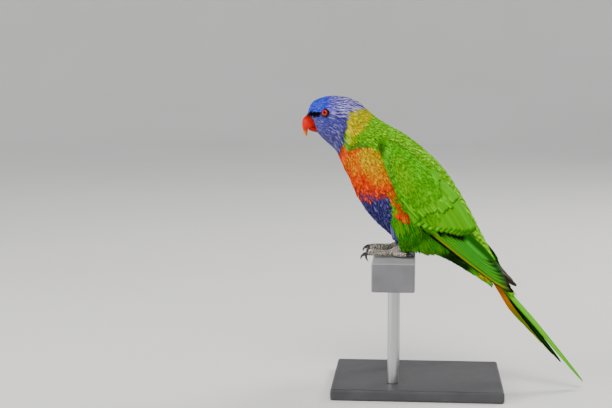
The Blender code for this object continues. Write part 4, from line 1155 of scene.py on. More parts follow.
def plant(surface, u_range, v_range, spacing_at, draws, seed, lie, colours, lanes=0.0):
    """Scattered roots with their feathers' lie, size and colours, and their place on the bake
    map, which is the surface unrolled.  Lanes is how far feathers one behind another match, so
    that their colours join into long wavy streaks."""
    u, v, chance = scatter(surface, u_range, v_range, spacing_at, draws, np.random.default_rng(seed))
    wave = np.sin(52.0 * v + 2.4 * np.sin(2.9 * u + 1.5 * v))
    chance = (1 - lanes) * chance + lanes * (0.5 + 0.5 * wave)
    points = surface(u, v, 0.0)
    roots = lay_feathers(surface, u, v, *lie(points, u, v, chance))
    tint, edge = colours(roots["seen"], chance)
    bright = 0.92 + 0.16 * np.modf(chance * 37.0)[0]
    roots["tint"], roots["edge"] = tint * bright[:, None], edge * bright[:, None]
    roots["shape"] = np.floor(chance * 1000) % 3
    spot = [0.03 + 0.94 * (value - low) / (high - low)
            for value, (low, high) in ((u, u_range), (v, v_range))]
    roots["root_uv"] = np.stack((*spot, u * 0), -1)
    roots["u"], roots["v"], roots["chance"], roots["where"] = u, v, chance, points
    return roots


def take(roots, kept):
    """The roots that a test keeps."""
    return {key: value[kept] for key, value in roots.items()}


# Sizes and colours a user would change

class PlumageSettings(PropertyGroup):
    """Sizes of the small feathers, in metres, and how loosely they lie."""

    head_feather: FloatProperty(name="Head feather", description="Length of a hackle on the crown",
                                default=5.2 * MM, unit="LENGTH")
    body_feather: FloatProperty(name="Body feather", description="Length of a breast feather",
                                default=8.5 * MM, unit="LENGTH")
    coat_depth: FloatProperty(name="Coat depth", description="How deep the skin lies under the coat",
                              default=1.7 * MM, unit="LENGTH")
    ruffle: FloatProperty(name="Ruffle", description="How far feathers lift from their lie",
                          default=0.045, subtype="ANGLE")
    sway: FloatProperty(name="Sway", description="How far feathers turn from their lie", default=0.13,
                        subtype="ANGLE")
    patch: FloatProperty(name="Bake patch", description="Share of the bake map that a feather takes",
                         default=0.003)
    seed: IntProperty(name="Seed", description="Draw of the feathers' places and sizes", default=7)


class FinishSettings(PropertyGroup):
    """Colours of horn, eye, skin, rail and stand."""

    bill_red: FloatVectorProperty(name="Bill", description="Middle of the bill", subtype="COLOR",
                                  default=linear("#D01000"))
    bill_deep: FloatVectorProperty(name="Bill root", description="Root of the bill", subtype="COLOR",
                                   default=linear("#960800"))
    bill_tip: FloatVectorProperty(name="Bill tip", description="Hook of the bill", subtype="COLOR",
                                  default=linear("#D07400"))
    iris: FloatVectorProperty(name="Iris", description="Ring round the pupil", subtype="COLOR",
                              default=linear("#C81A00"))
    foot: FloatVectorProperty(name="Foot", description="Plates of the feet", subtype="COLOR",
                              default=linear("#CCC4B4"))
    rail: FloatVectorProperty(name="Rail", description="Paint of the rail", subtype="COLOR",
                              default=linear("#85868A"))
    base: FloatVectorProperty(name="Base", description="Coating of the stand's base", subtype="COLOR",
                              default=linear("#26262A"))


class StageSettings(PropertyGroup):
    """The light round the bird."""

    key_power: FloatProperty(name="Key light", description="Power of the large light above the camera",
                             default=16.0, unit="POWER")
    fill_power: FloatProperty(name="Fill light", description="Power of the light by the bird's breast",
                              default=14.0, unit="POWER")
    rim_power: FloatProperty(name="Rim light", description="Power of the light behind the bird's back",
                             default=14.0, unit="POWER")


def head_lie(settings):
    """Hackles: short and tight by the bill and round the eye, long and loose on the nape."""
    full = settings.head_feather / MM

    def lie(points, u, v, chance):
        rear = smooth(1.0, 4.5, u)
        length = full * (0.42 + 0.8 * rear) * (0.85 + 0.3 * chance)
        width = 0.75 + 0.3 * rear
        depth = 0.35 + 0.55 * rear
        lift = 0.03 + 0.25 * rear * np.cos(v / 2) ** 2 * (chance > 0.5)
        below_eye = np.abs(np.sin(v)) * smooth(103.0, 95.0, points[:, 2])
        turn = 0.25 * np.sign(v) * below_eye + 0.14 * rear * np.sin(4.4 * u + 3.0 * v)
        return length, width, depth, lift, turn
    return lie


def body_lie(settings, fine):
    """Contour feathers: longer and broader toward the tail, loose on breast and flank; the fine
    ones over them are narrower."""
    full, skin = settings.body_feather / MM, settings.coat_depth / MM

    def lie(points, u, v, chance):
        rearward = smooth(5.0, 9.0, u)
        length = full * (0.56 + 0.26 * smooth(4.6, 6.6, u) + 0.30 * rearward) * (0.86 + 0.28 * chance)
        width = np.where(np.cos(v) < 0.2, 1.9, 2.2) * (0.8 + 0.1 * smooth(4.6, 6.6, u) + 0.35 * rearward)
        depth = skin * np.where(u > 10.2, 0.6, 1.0)
        lift = 0.12 * (chance > 0.7)
        turn = 0.10 * np.sin(chance * 71.0)
        if fine:
            length = length * np.where(np.cos(v) < 0.2, 1.0, 0.85)
            return length, 0.38 * width, 0.6 * depth, lift + 0.06, turn
        return length, width, depth, lift, turn
    return lie


def clear_of_eye(roots):
    """Feathers that start off the eyeball, shortened where they would lie over it."""
    centre = np.array((EYE_AT[0], 0.0, EYE_AT[1]))
    flat = np.array((1.0, 0.0, 1.0))
    gap = np.linalg.norm((roots["where"] - centre) * flat, axis=-1)
    start, reach = roots["where"] * flat - centre * flat, roots["aim"] * flat * roots["size"][:, :1]
    shares = np.linspace(0, 1, 9)
    path = np.linalg.norm(start[:, None] + reach[:, None] * shares[None, :, None], axis=-1)
    covered = path < LID_RADIUS - 0.1
    first = np.where(covered.any(axis=1), shares[np.argmax(covered, axis=1)], 1.0)
    roots["size"] = roots["size"] * np.stack((first, np.sqrt(first), np.sqrt(first)), -1)
    return take(roots, (gap > LID_RADIUS + 0.1) & (first > 0.3))


# Operators

class LORIKEET_OT_skin(Operator):
    """Make the one skin under the plumage, from the bill's root to the tail, with both thighs"""
    bl_idname = "lorikeet.skin"
    bl_label = "Skin"

    def execute(self, context):
        settings = context.scene.lorikeet_plumage
        stations = np.linspace(0, SKIN_END, 150)
        turns = np.linspace(-math.pi, math.pi, 72, endpoint=False)
        u, angle = np.meshgrid(stations, turns, indexing="ij")
        depth = 0.45 + (settings.coat_depth / MM - 0.45) * smooth(2.5, 6.0, u)
        points = body_surface(u, angle, depth).reshape(-1, 3)
        parts = [mesh_piece("skin", points, tube_faces(len(stations), len(turns)))]
        turns = np.linspace(0, 2 * math.pi, 28, endpoint=False)
        t, round_ = np.meshgrid(np.linspace(0, 3, 20), turns, indexing="ij")
        for side in (-1, 1):
            points = thigh_surface(t, round_, 1.2, side).reshape(-1, 3)
            parts.append(mesh_piece("thigh", points, tube_faces(20, 28)))
        skin = join_closed("skin", parts)
        places = np.zeros(len(skin.data.vertices) * 3)
        skin.data.vertices.foreach_get("co", places)
        places = (places.reshape(-1, 3) - np.array((PERCH_X, 0.0, PERCH_TOP))) / MM
        paint(skin.data, "tint", markings(places, np.full(len(places), 0.5), 0.0)[0])
        covered = ("head", "neck", "torso", "thigh_left", "thigh_right")
        seat(skin, "body_feathers", covered, skin_material())
        return {"FINISHED"}


class LORIKEET_OT_plumage(Operator):
    """Cover the skin in small feathers: hackles on the head, contour feathers on the body"""
    bl_idname = "lorikeet.plumage"
    bl_label = "Plumage"

    def execute(self, context):
        settings = context.scene.lorikeet_plumage
        tree = plumage_tree()
        contour, hackle = shape_sets()
        soft = feather_material("soft contour feather keratin", "rim", 0.7, 8.5, 1.57, 0.82)
        streaked = feather_material("shaft streaked hackle keratin", "shaft", 0.62, 5.2, 1.485, 0.72)
        half_turn = (-math.pi, math.pi)

        def coat(name, roots, shapes, material, slot, loose=1.0):
            if len(roots["at"]) == 0:
                raise RuntimeError(f"{name} has no feathers")
            given = {
                "Shapes": shapes, "Ruffle": loose * settings.ruffle, "Sway": loose * settings.sway,
                "Patch Size": settings.patch, "Seed": settings.seed + len(name), "Finish": material,
            }
            seat(grow(name, tree, roots, given), slot, ())

        def tint_here(points, chance):
            return markings(points, chance, 0.8)[:2]

        head = clear_of_eye(plant(
            body_surface, (0.02, 5.6), half_turn,
            lambda p: np.interp(p[:, 0], (-58.0, -45.0, -25.0), (0.55, 0.70, 0.95)),
            80000, settings.seed, head_lie(settings), tint_here, 0.7))
        head = take(head, markings(head["seen"], head["chance"], 0.8)[2])
        coat("plumage_head", head, hackle, streaked, "head_feathers")

        wing_outline = np.concatenate((WING_LOWER_EDGE, WING_UPPER_EDGE[::-1]))
        middle = wing_outline.mean(axis=0)
        wing_outline = middle + (wing_outline - middle) * 0.72
        for fine, spacing, draws in ((False, (1.0, 1.15, 1.5), 60000), (True, (0.72, 0.85, 1.1), 100000)):
            body = plant(
                body_surface, (3.6, COAT_END), half_turn,
                lambda p: np.interp(p[:, 0], (-35.0, 10.0, 60.0), spacing),
                draws, settings.seed + 1 + fine, body_lie(settings, fine), tint_here, 0.6)
            body = take(body, ~markings(body["seen"], body["chance"], 0.8)[2])
            covered = inside(*body["where"][:, (0, 2)].T, wing_outline)
            body = take(body, ~(covered & (np.abs(body["where"][:, 1]) > 9.0)))
            above_breast = body["where"][:, 2] > edge_at(BREAST_TOP_AT_X, body["where"][:, 0])
            neck = above_breast & (body["u"] < 6.4)
            upper = np.abs(body["v"]) < math.pi / 2
            shapes, ending = (hackle, "_fine") if fine else (contour, "")
            for part, chosen, slot in (
                ("back", upper & ~neck, "body_feathers"), ("neck", upper & neck, "neck_feathers"),
                ("breast", ~upper, "body_feathers"),
            ):
                coat(f"plumage_{part}{ending}", take(body, chosen), shapes, soft, slot)
        for word, side in (("left", -1), ("right", 1)):
            flank = plant(
                flank_cover(side), (0.0, 1.0), (-0.12, 0.86), lambda p: np.full(len(p), 0.95), 16000,
                settings.seed + 5, self.flank_lie, tint_here)
            coat(f"plumage_flank_{word}", self.hemmed(flank), contour, soft, "thigh_feathers")
            cover = plant(
                wing_cover(side), (0.0, 0.62), (0.02, 1.0),
                lambda p: np.interp(p[:, 0], (-12.0, 25.0), (0.95, 1.5)), 24000, settings.seed + 7,
                self.covert_lie, self.covert_colours)
            coat(f"plumage_wing_{word}", cover, contour, soft, "wing_feathers", 0.4)
            strands = plant(
                wing_cover(side), (-0.02, 0.97), (0.02, 1.02),
                lambda p: np.interp(p[:, 0], (-12.0, 25.0), (0.75, 0.95)), 40000, settings.seed + 9,
                self.strand_lie, self.covert_colours, 0.6)
            thinned = smooth(0.55, 0.97, strands["u"]) * 0.85 < np.modf(strands["u"] * 977.0)[0]
            coat(f"plumage_wing_{word}_fine", take(strands, thinned), hackle, soft, "wing_feathers", 0.15)
        for shapes in (contour, hackle):
            for shape in list(shapes.objects):
                bpy.data.objects.remove(shape)
            bpy.data.collections.remove(shapes)
        return {"FINISHED"}

    def flank_lie(self, points, u, v, chance):
        """Long loose feathers that hang down and a little back to a ragged hem."""
        length = 8.0 * (0.85 + 0.3 * chance)
        return 0.42 * length, 1.3 + 0.5 * chance, 1.2, 0.25 + 0.4 * (chance > 0.7), 2.1 + 0.5 * chance

    def hemmed(self, roots):
        """The same feathers, cut short where they would hang past the hem."""
        tip = roots["at"] + roots["aim"] * roots["size"][:, :1]
        hem = edge_at(HEM_AT_X, tip[:, 0]) - 1.6 * roots["chance"]
        hang = np.maximum(roots["at"][:, 2] - tip[:, 2], 0.1)
        share = np.clip((roots["at"][:, 2] - hem) / hang, 0.2, 1.0)
        roots["size"] = roots["size"] * np.stack((share, share ** 0.3, share ** 0.3), -1)
        return roots

    def covert_lie(self, points, a, b, chance):
        """Small round feathers over the arm, longer toward the flight feathers."""
        length = (7.0 + 5.0 * a) * (0.85 + 0.3 * chance)
        return length, 1.7 + 1.2 * a, 1.1 + 0.3 * a, 0.12, -0.15 + 0.03 * np.sin(chance * 71.0)

    def strand_lie(self, points, a, b, chance):
        """Narrow strands over the coverts, as their loosened barbs."""
        length = (8.0 + 3.0 * a) * (0.85 + 0.3 * chance)
        return length, 0.7 + 0.3 * chance, 0.25, 0.1, -0.15 + 0.03 * np.sin(chance * 71.0)

    def covert_colours(self, points, chance):
        """The wing's greens, a little brighter on each feather's rim."""
        tint = wing_colours(points[:, 0], points[:, 2], chance)
        return tint, mix(tint, "wing_lime", 0.3)


class LORIKEET_OT_wings(Operator):
    """Make both folded wings: the arm under the coverts, the flight feathers and their coverts"""
    bl_idname = "lorikeet.wings"
    bl_label = "Wings"

    def execute(self, context):
        vane = feather_material("smooth flight feather keratin", "inner web", 0.5, 70.0, 2.93, 0.9)
        down = bpy.data.materials["down covered skin"]
        for word, side, lift in (("left", -1, 0.0), ("right", 1, FAR_WING_LIFT)):
            seat(self.core(f"wing_arm_{word}", side), "wing_feathers", (f"wing_{word}",), down)
            seat(self.long_feathers(f"wing_vanes_{word}", side, lift), "wing_feathers", (), vane)
        return {"FINISHED"}

    def core(self, name, side):
        """The arm and packed feather roots that the coverts hide."""
        a, b = np.meshgrid(np.linspace(0, 1, 26), np.linspace(0, 1, 19), indexing="ij")
        a, b = a.ravel(), b.ravel()
        low, high = along_points(WING_LOWER_EDGE, a), along_points(WING_UPPER_EDGE, a)
        place = low + (high - low) * b[:, None]
        rim = np.minimum(np.minimum(b / 0.34, (1 - b) / 0.2), 1.0)
        nose = np.minimum(0.1 + a / 0.4, 1.0)
        height = 0.1 + (WING_CORE_HEIGHT - 1.3) * np.sin(rim * math.pi / 2) * nose
        outer, _ = on_wing(place[:, 0], place[:, 1], height, side)
        inner, _ = on_wing(place[:, 0], place[:, 1], -1.0, side, body=True)
        grid = np.arange(26 * 19).reshape(26, 19)
        quads = np.stack((grid[:-1, :-1], grid[1:, :-1], grid[1:, 1:], grid[:-1, 1:]), -1).reshape(-1, 4)
        faces = quads.tolist() + (quads[:, ::-1] + grid.size).tolist()
        rim_loop = np.concatenate((grid[0], grid[1:, -1], grid[-1, -2::-1], grid[-2:0:-1, 0]))
        for first, second in zip(rim_loop, np.roll(rim_loop, -1)):
            faces.append([first, second, second + grid.size, first + grid.size])
        count = 2 * grid.size
        tint = np.broadcast_to(PALETTE["wing"], (count, 3))
        return mesh_piece(name, np.concatenate((outer, inner)), faces, {"tint": tint})

    def lined(self, tint, chance):
        """A vane's colour: paler toward its shaft, darkened at outer edge and tip as painted shade."""
        def colour(s, c):
            by_shaft = (0.1 + 0.4 * chance) * smooth(0.5, 0.0, np.abs(c + 0.4))
            pale = mix(tint, "wing_streak", by_shaft)
            # Painted shade: a dark line along the outer edge and the tip, where one vane lies over the next
            side = smooth(-0.80, -0.97, c) * smooth(0.25, 0.8, chance)
            shade_line = np.maximum(side, smooth(0.90, 0.97, s))
            return mix(pale, PALETTE["leaf"] * 0.5, 0.85 * shade_line)
        return colour

    def long_feathers(self, name, side, lift):
        """Primaries, secondaries and three rows of coverts as separate vanes."""
        rng = np.random.default_rng(31)
        batch = Batch()

        def lay(root, tip, width, rise, tilt, outline, tint, edge, stray=0.0, camber=0.12):
            root, tip = np.asarray(root, float), np.asarray(tip, float) + rng.uniform(-0.3, 0.3, 2)
            tip = tip + (tip - root) / np.hypot(*(tip - root)) * rng.uniform(-stray, stray)
            along = tip - root
            length = np.hypot(*along)
            across = np.array((-along[1], along[0])) / length
            shares, heights = zip(*rise)

            def point_at(s, c, face):
                half = 0.5 * width * blade_outline(s, *outline)
                x = root[0] + along[0] * s + across[0] * half * c
                z = root[1] + along[1] * s + across[1] * half * c
                shaft = camber * np.exp(-(c / 0.16) ** 2) * (1 - 0.8 * s)
                height = np.interp(s, shares, heights) + tilt * half * c + camber * (1 - c * c)
                height = height + np.where(face > 0, shaft, 0.0) + face * 0.14
                return on_wing(x, z, height, side)[0]

            stops = np.concatenate((np.linspace(0, 0.85, 12), (0.9, 0.94, 0.97, 0.99, 1.0)))
            batch.add(point_at, stops, 8, tint, edge)

        for k in range(9):
            share = k / 8
            tip = along_points(PRIMARY_TIPS, share) + np.array((0.7, 0.8)) * lift * (1 - 0.6 * share)
            root = PRIMARY_ROOTS[0] + (PRIMARY_ROOTS[1] - PRIMARY_ROOTS[0]) * share
            height = 0.05 + 3.2 * share
            web = mix("wing", "sea", 0.6 * rng.uniform())
            # The lowest primary is near black, a painted shadow band under the wing's edge; the next is its
            # yellow-green leading edge
            web = (PALETTE["near_black"], PALETTE["straw"] * 0.6, PALETTE["wing"])[k] if k < 3 else web
            line = mix("navy", "sea", 0.2 + 0.4 * rng.uniform()) if k > 1 else web

            def colour(s, c, web=web, line=line, root=root, tip=tip):
                shade = mix(web, line, 0.85 * smooth(-0.78, -0.9, c) + 0.3 * smooth(-0.5, -0.2, c))
                shade = mix(shade, "brown", smooth(0.86, 0.98, s))
                # On the far wing the tips, seen from below, turn umber, with ash-pale edges that are a
                # painted highlight
                if lift:
                    wear_and_highlight = mix("umber", "ash", smooth(0.7, 0.95, np.abs(c)))
                    shade = mix(shade, wear_and_highlight, smooth(0.6, 0.75, s))
                x, z = (a + (b - a) * s for a, b in zip(root, tip))
                # Painted shadow: near black just below the secondaries' tips, where they shade the primaries
                return mix(shade, "near_black", smooth(3.2, 1.6, near_path(x, z, SECONDARY_TIPS)))

            inner = PALETTE["near_black"] if k < 3 else PALETTE["leaf"] * 0.5
            inner = colour if lift and k < 5 else inner
            rise = [(0.0, min(height, 2.2)), (0.14, height), (1.0, height)]
            lay(root, tip, 6.4, rise, 0.0, (0.85, 0.12, 0.5), colour, inner)
        for tips, roots, step, count, width, rise, drop, outline, stray in (
            (SECONDARY_TIPS, GREATER_TIPS, (-6.0, 6.6), 14, 6.4,
             [(0.0, 2.2), (0.17, 4.1), (1.0, 4.5)], 1.3, (0.8, 0.72, 0.92), 0.4),
            (GREATER_TIPS, GREATER_TIPS, (-12.0, 14.4), 17, 4.2,
             [(0.0, 2.2), (0.2, 3.9), (0.66, 4.8), (1.0, 4.7)], 1.5, (0.75, 0.2, 0.4), 2.6),
            (MEDIAN_TIPS, MEDIAN_TIPS, (-8.6, 10.4), 16, 4.0,
             [(0.0, 2.2), (0.25, 4.0), (0.75, 5.0), (1.0, 4.9)], 1.6, (0.75, 0.2, 0.4), 3.0),
        ):
            lifted = np.array((0.0, -0.4 * lift if tips is SECONDARY_TIPS else 0.0))
            for k in range(count):
                share = k / (count - 1)
                tip = along_points(tips, share) + lifted
                root = along_points(roots, share) + np.array(step)
                seen = root + 0.7 * (tip - root)
                tint = wing_colours(seen[0], seen[1], rng.uniform(0, 0.7)) * rng.uniform(0.85, 1.1)
                lower = [(s, h - drop * share) for s, h in rise]
                vane = self.lined(tint, rng.uniform())
                inner = self.lined(tint * 0.8, 0.0)
                lay(root, tip, width, lower, -0.04, outline, vane, inner, stray, 0.04)
        for k in range(8):
            share = k / 7
            tip = along_points(PRIMARY_COVERT_TIPS, share)
            rise = [(0.0, 0.3 + 2.2 * share), (0.3, 1.2 + 2.2 * share), (1.0, 1.6 + 2.2 * share)]
            tint = mix("wing_deep", "wing", rng.uniform())
            lay(tip + np.array((-10.5, 11.6)), tip, 4.0, rise, -0.12, (0.75, 0.3, 0.45),
                tint, PALETTE["near_black"], 1.0)
        return batch.piece(name)


class LORIKEET_OT_tail(Operator):
    """Make the twelve graduated tail feathers and the coverts over and under them"""
    bl_idname = "lorikeet.tail"
    bl_label = "Tail"

    def execute(self, context):
        vane = bpy.data.materials["smooth flight feather keratin"]
        batch = Batch()

        def tail_point(along, height, out):
            dx, dz = TAIL_DIRECTION
            return np.stack((TAIL_LINE_AT[0] + dx * along - dz * height, out,
                             TAIL_LINE_AT[1] + dz * along + dx * height), -1)

        def long_feather(index, side):
            root, end = TAIL_FEATHER_ROOT - 4.0, TAIL_FEATHER_ENDS[index]
            spread = TAIL_FEATHER_WIDTH / 2 + 0.15 + TAIL_FEATHER_STEP * index
            tucked = 2.1 + 0.25 * index
            gather = 0.46 if index == 0 else 0.3

            def point_at(s, c, face):
                along = root + (end - root) * s
                fan = np.clip((along - TAIL_FEATHER_ROOT) / TAIL_FAN_LENGTH, 0.0, 1.0)
                half = 0.5 * TAIL_FEATHER_WIDTH * (0.4 + 0.6 * fan)
                half = half * blade_outline(s, 1.0, 0.06, 0.25)
                drawn_in = gather * TAIL_FEATHER_WIDTH * np.maximum(0.0, s - 0.25)
                middle = tucked + (spread - tucked) * fan - drawn_in
                across = middle + half * c
                shaft = 0.12 * np.exp(-(c / 0.14) ** 2) * (1 - 0.8 * s) * (face > 0)
                raised = 0.25 * (1 - c * c) * (1 - s) + shaft + face * 0.13
                lift = 1.2 * smooth(0.1, 0.5, s) if index == 0 else -0.8 * smooth(0.2, 0.7, s)
                height = raised * math.cos(TAIL_ROOF) - across * math.sin(TAIL_ROOF) - 1.0 * s + lift
                drop = TAIL_FEATHER_DROP + math.tan(TAIL_LAYER_ANGLE) * (along - root)
                out = across * math.cos(TAIL_ROOF) + raised * math.sin(TAIL_ROOF)
                return tail_point(along, height - index * drop, side * out)

            def colour(s, c):
                along = root + (end - root) * s
                if index == 0:
                    # Middle feather: a pale line along its ridge is a painted highlight, and the deeper
                    # green on its lower half is painted shade; it deepens toward its tip as well
                    green = mix("tail", "tail_ridge_highlight", 0.8 * smooth(-0.6, -0.98, c))
                    painted_shade = 0.5 * smooth(0.3, 0.9, c) + 0.3 * smooth(0.8, 1.0, s)
                    return mix(green, "tail_shade", painted_shade)
                if index == 1:
                    # Next feather: near black past its root, painted shade under the middle feather
                    dark = mix(PALETTE["tail_shade"] * 0.35, PALETTE["near_black"], smooth(0.2, 0.8, c))
                    return mix("tail", dark, smooth(19.0, 32.0, along + 6.0 * c))
                # The rest: rust to olive with a straw rim on their outer side, and near black inward of it,
                # painted shadow in the gap under the feathers above
                outer = mix("rust", "tail_olive", smooth(24.0, 40.0, along))
                outer = mix(outer, "straw", 0.5 * smooth(0.7, 0.95, c))
                return mix("near_black", outer, smooth(0.45, 0.8, c + 0.35 * smooth(26.0, 16.0, along)))

            stops = np.concatenate((np.linspace(0, 0.9, 16), (0.93, 0.96, 0.98, 1.0)))
            batch.add(point_at, stops, 8, colour, colour)

        def covert(start, end, width, roof, tint):
            slope = math.radians(roof)

            def point_at(s, c, face):
                along, height, out = (p + (q - p) * s for p, q in zip(start, end))
                half = 0.5 * width * blade_outline(s, 0.8, 0.3, 0.4)
                raised = 0.2 * (1 - c * c) + face * 0.12
                height = height - half * c * math.sin(slope) + raised * math.cos(slope)
                return tail_point(along, height, out + half * c * math.cos(slope))

            batch.add(point_at, np.linspace(0, 1, 9), 6, tint, tint * 0.8)

        for side in (-1, 1):
            for index in range(len(TAIL_FEATHER_ENDS)):
                long_feather(index, side)
        for out in np.linspace(-1.5, 1.5, 7):
            far = abs(out)
            covert((1.0, 2.0 - 0.3 * far, 2.2 * out), (27.0 - 2 * far, 1.7 - 1.4 * far, 3.4 * out),
                   5.6, 26 * out, PALETTE["back"])
        for out in np.linspace(-2, 2, 9):
            far = abs(out)
            covert((-5.0, -9.0 + 0.5 * far, 2.2 * out), (12.0 - far, -8.6 + 0.6 * far, 2.8 * out),
                   6.4, -14 * out, PALETTE["vent"])
        tail = batch.piece("tail_vanes")
        seat(tail, "tail_feathers", ("tail",), vane)
        return {"FINISHED"}


def eye_place(side):
    """The middle of an eyeball in metres and the way it looks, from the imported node."""
    low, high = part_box("eye_left" if side < 0 else "eye_right")
    x, z = EYE_AT
    centre = Vector(in_frame((x, 0.0, z)))
    centre.y = (low.y + high.y) / 2
    step = 1.2
    u = np.linspace(0, 4.9, 600)
    angle = np.linspace(0.2, 3.0, 300)
    grid = body_surface(*np.meshgrid(u, angle), 0.0).reshape(-1, 3)

    def y_at(px, pz):
        return grid[np.argmin((grid[:, 0] - px) ** 2 + (grid[:, 2] - pz) ** 2), 1]

    slope_x = (y_at(x + step, z) - y_at(x - step, z)) / (2 * step)
    slope_z = (y_at(x, z + step) - y_at(x, z - step)) / (2 * step)
    look = Vector((-slope_x, 1.0, -slope_z)).normalized()
    look.y *= side
    return centre, look


class LORIKEET_OT_eyes(Operator):
    """Make both eyes: a ball with a raised cornea, and a beaded lid round it"""
    bl_idname = "lorikeet.eyes"
    bl_label = "Eyes"

    def execute(self, context):
        finish = context.scene.lorikeet_finish
        wet = eye_material(tuple(finish.iris), linear("#1A0E0C"))
        rim = scaly_material("dark bare lid skin", linear("#3A3D48"), linear("#101218"), 0.556)
        for word, side in (("left", -1), ("right", 1)):
            centre, look = eye_place(side)
            turn = look.to_track_quat("Z", "Y").to_matrix().to_4x4()
            seat(self.ball(f"eyeball_{word}", centre, turn), "eye", (f"eye_{word}",), wet)
            seat(self.lid(f"eyelid_{word}", centre, turn), "head_feathers", (), rim)
        return {"FINISHED"}

    def ball(self, name, centre, turn):
        """The eyeball, with the distance of each point from its axis in millimetres."""
        bpy.ops.mesh.primitive_uv_sphere_add(segments=48, ring_count=32, radius=EYE_RADIUS * MM)
        ball = bpy.context.active_object
        ball.name = ball.data.name = name
        off = np.zeros(len(ball.data.vertices), np.float32)
        for vertex in ball.data.vertices:
            off[vertex.index] = EYE_RADIUS
            if vertex.co.z > 0:
                off[vertex.index] = math.hypot(vertex.co.x, vertex.co.y) / MM
                vertex.co.z += 0.25 * MM * max(0.0, 1 - (off[vertex.index] / 2.5) ** 2)
        layer = ball.data.attributes.new("off_axis", "FLOAT", "POINT")
        layer.data.foreach_set("value", off)
        ball.data.transform(Matrix.Translation(centre) @ turn)
        ball.data.shade_smooth()
        return ball

    def lid(self, name, centre, turn):
        """A ring of small beads round the eye, a little narrower above and below."""
        around, across = 72, 12
        points, faces = [], []
        for k in range(around):
            a = 2 * math.pi * k / around
            bead = 0.21 + 0.04 * math.sin(18 * a)
            for j in range(across):
                b = 2 * math.pi * j / across
                radius = LID_RADIUS + bead * math.cos(b)
                rise = EYE_RADIUS - EYE_BULGE - 0.05 + 1.15 * bead * math.sin(b)
                points.append(Vector((radius * math.cos(a), 0.96 * radius * math.sin(a), rise)) * MM)
                n, m = (k + 1) % around, (j + 1) % across
                faces.append([k * across + j, n * across + j, n * across + m, k * across + m])
        mesh = bpy.data.meshes.new(name)
        mesh.from_pydata(points, [], faces)
        mesh.transform(Matrix.Translation(centre) @ turn)
        mesh.shade_smooth()
        return face_out(linked(name, mesh))


class LORIKEET_OT_bill(Operator):
    """Make the hooked upper bill with cere and nostrils, and the lower bill"""
    bl_idname = "lorikeet.bill"
    bl_label = "Bill"

    def execute(self, context):
        finish = context.scene.lorikeet_finish
        horn = bill_material(*(tuple(c) for c in (finish.bill_tip, finish.bill_red, finish.bill_deep)))
        upper = self.horn("bill_upper_horn", UPPER_BILL, 60, 2.0, 3.0, 1.0)
        seat(upper, "bill_horn", ("bill_upper",), horn)
        lower = self.horn("bill_lower_horn", LOWER_BILL, 30, 3.0, 2.0, 0.12)
        seat(lower, "bill_horn", ("bill_lower",), horn)
        bare = scaly_material("bare cere skin", linear("#2A1C1C"), linear("#0C0A0C"), 0.667)
        seat(self.cere("cere"), "bill_horn", (), bare)
        return {"FINISHED"}

    def horn(self, name, rows, rings, top_power, bottom_power, ripeness):
        """A smooth horn through pairs of points on its upper and lower edge, closed at its tip.
        Ripeness is how far its colour goes from the root's to the hook's."""
        t = np.linspace(0, len(rows) - 1, rings)
        values = curve_rows(rows, t)
        angle = np.linspace(0, 2 * math.pi, 40, endpoint=False)
        along, across = np.cos(angle), np.sin(angle)
        power = np.where(along > 0, top_power, bottom_power)
        along = np.sign(along) * np.abs(along) ** (2 / power)
        across = np.sign(across) * np.abs(across) ** (2 / power)
        tx, tz, bx, bz, width = (values[:, k:k + 1] for k in range(5))
        x = (tx + bx) / 2 + (tx - bx) / 2 * along
        z = (tz + bz) / 2 + (tz - bz) / 2 * along
        points = np.stack((x, width * across, z), -1).reshape(-1, 3)
        horn = mesh_piece(name, points, tube_faces(rings, 40))
        layer = horn.data.attributes.new("toward_tip", "FLOAT", "POINT")
        layer.data.foreach_set("value", np.repeat(t / t[-1] * ripeness, 40).astype(np.float32))
        return horn

    def cere(self, name):
        """The low fleshy saddle over the bill's root with a round nostril in each side."""
        turns = np.linspace(0, 2 * math.pi, 24, endpoint=False)
        u, angle = np.meshgrid(np.linspace(0, 1, 16), turns, indexing="ij")
        reach = np.sin(u * math.pi) ** 0.6
        x = CERE_AT[0] + 1.1 * np.cos(angle) * reach
        y = CERE_HALF_WIDTH * np.cos(u * math.pi)
        z = CERE_AT[1] + 1.0 * np.sin(angle) * reach - 0.05 * y * y
        hole = np.hypot(np.abs(y) - NOSTRIL_Y, x - NOSTRIL_X) < NOSTRIL_RADIUS
        points = np.stack((x + 0.7 * hole, y, z), -1).reshape(-1, 3)
        return mesh_piece(name, points, tube_faces(16, 24))


class LORIKEET_OT_feet(Operator):
    """Make the scaled feet that grip the rail, and their black claws"""
    bl_idname = "lorikeet.feet"
    bl_label = "Feet"

    def execute(self, context):
        finish = context.scene.lorikeet_finish
        plates = scaly_material("scaled foot skin", tuple(finish.foot), linear("#14110E"), 1.4286)
        horn = claw_material()
        for word, side in (("left", -1), ("right", 1)):
            turn = np.array((1.0, -side, 1.0))

            def scutes(t, angle):
                top = np.clip(np.sin(angle), 0, 1)
                return 0.88 + 0.17 * top * np.abs(np.sin(t * math.pi * 3.6)) + 0.04 * np.cos(2 * angle)

            parts = []
            for path in [SHANK_PATH, *TOE_PATHS.values()]:
                rings = 22 * (len(path) - 1)
                points = tube_points(np.asarray(path), rings, 20, scutes).reshape(-1, 3) * turn
                parts.append(mesh_piece("toe", points, tube_faces(rings, 20)))
            foot = join_closed(f"foot_scaled_{word}", parts)
            seat(foot, "foot_skin", (f"foot_{word}",), plates)
            for number, path in CLAW_PATHS.items():
                points = tube_points(np.asarray(path), 24, 16).reshape(-1, 3) * turn
                claw = mesh_piece(f"claw_horn_{word}_{number}", points, tube_faces(24, 16))
                seat(claw, "claw_horn", (f"claw_{word}_{number}",), horn)
        return {"FINISHED"}


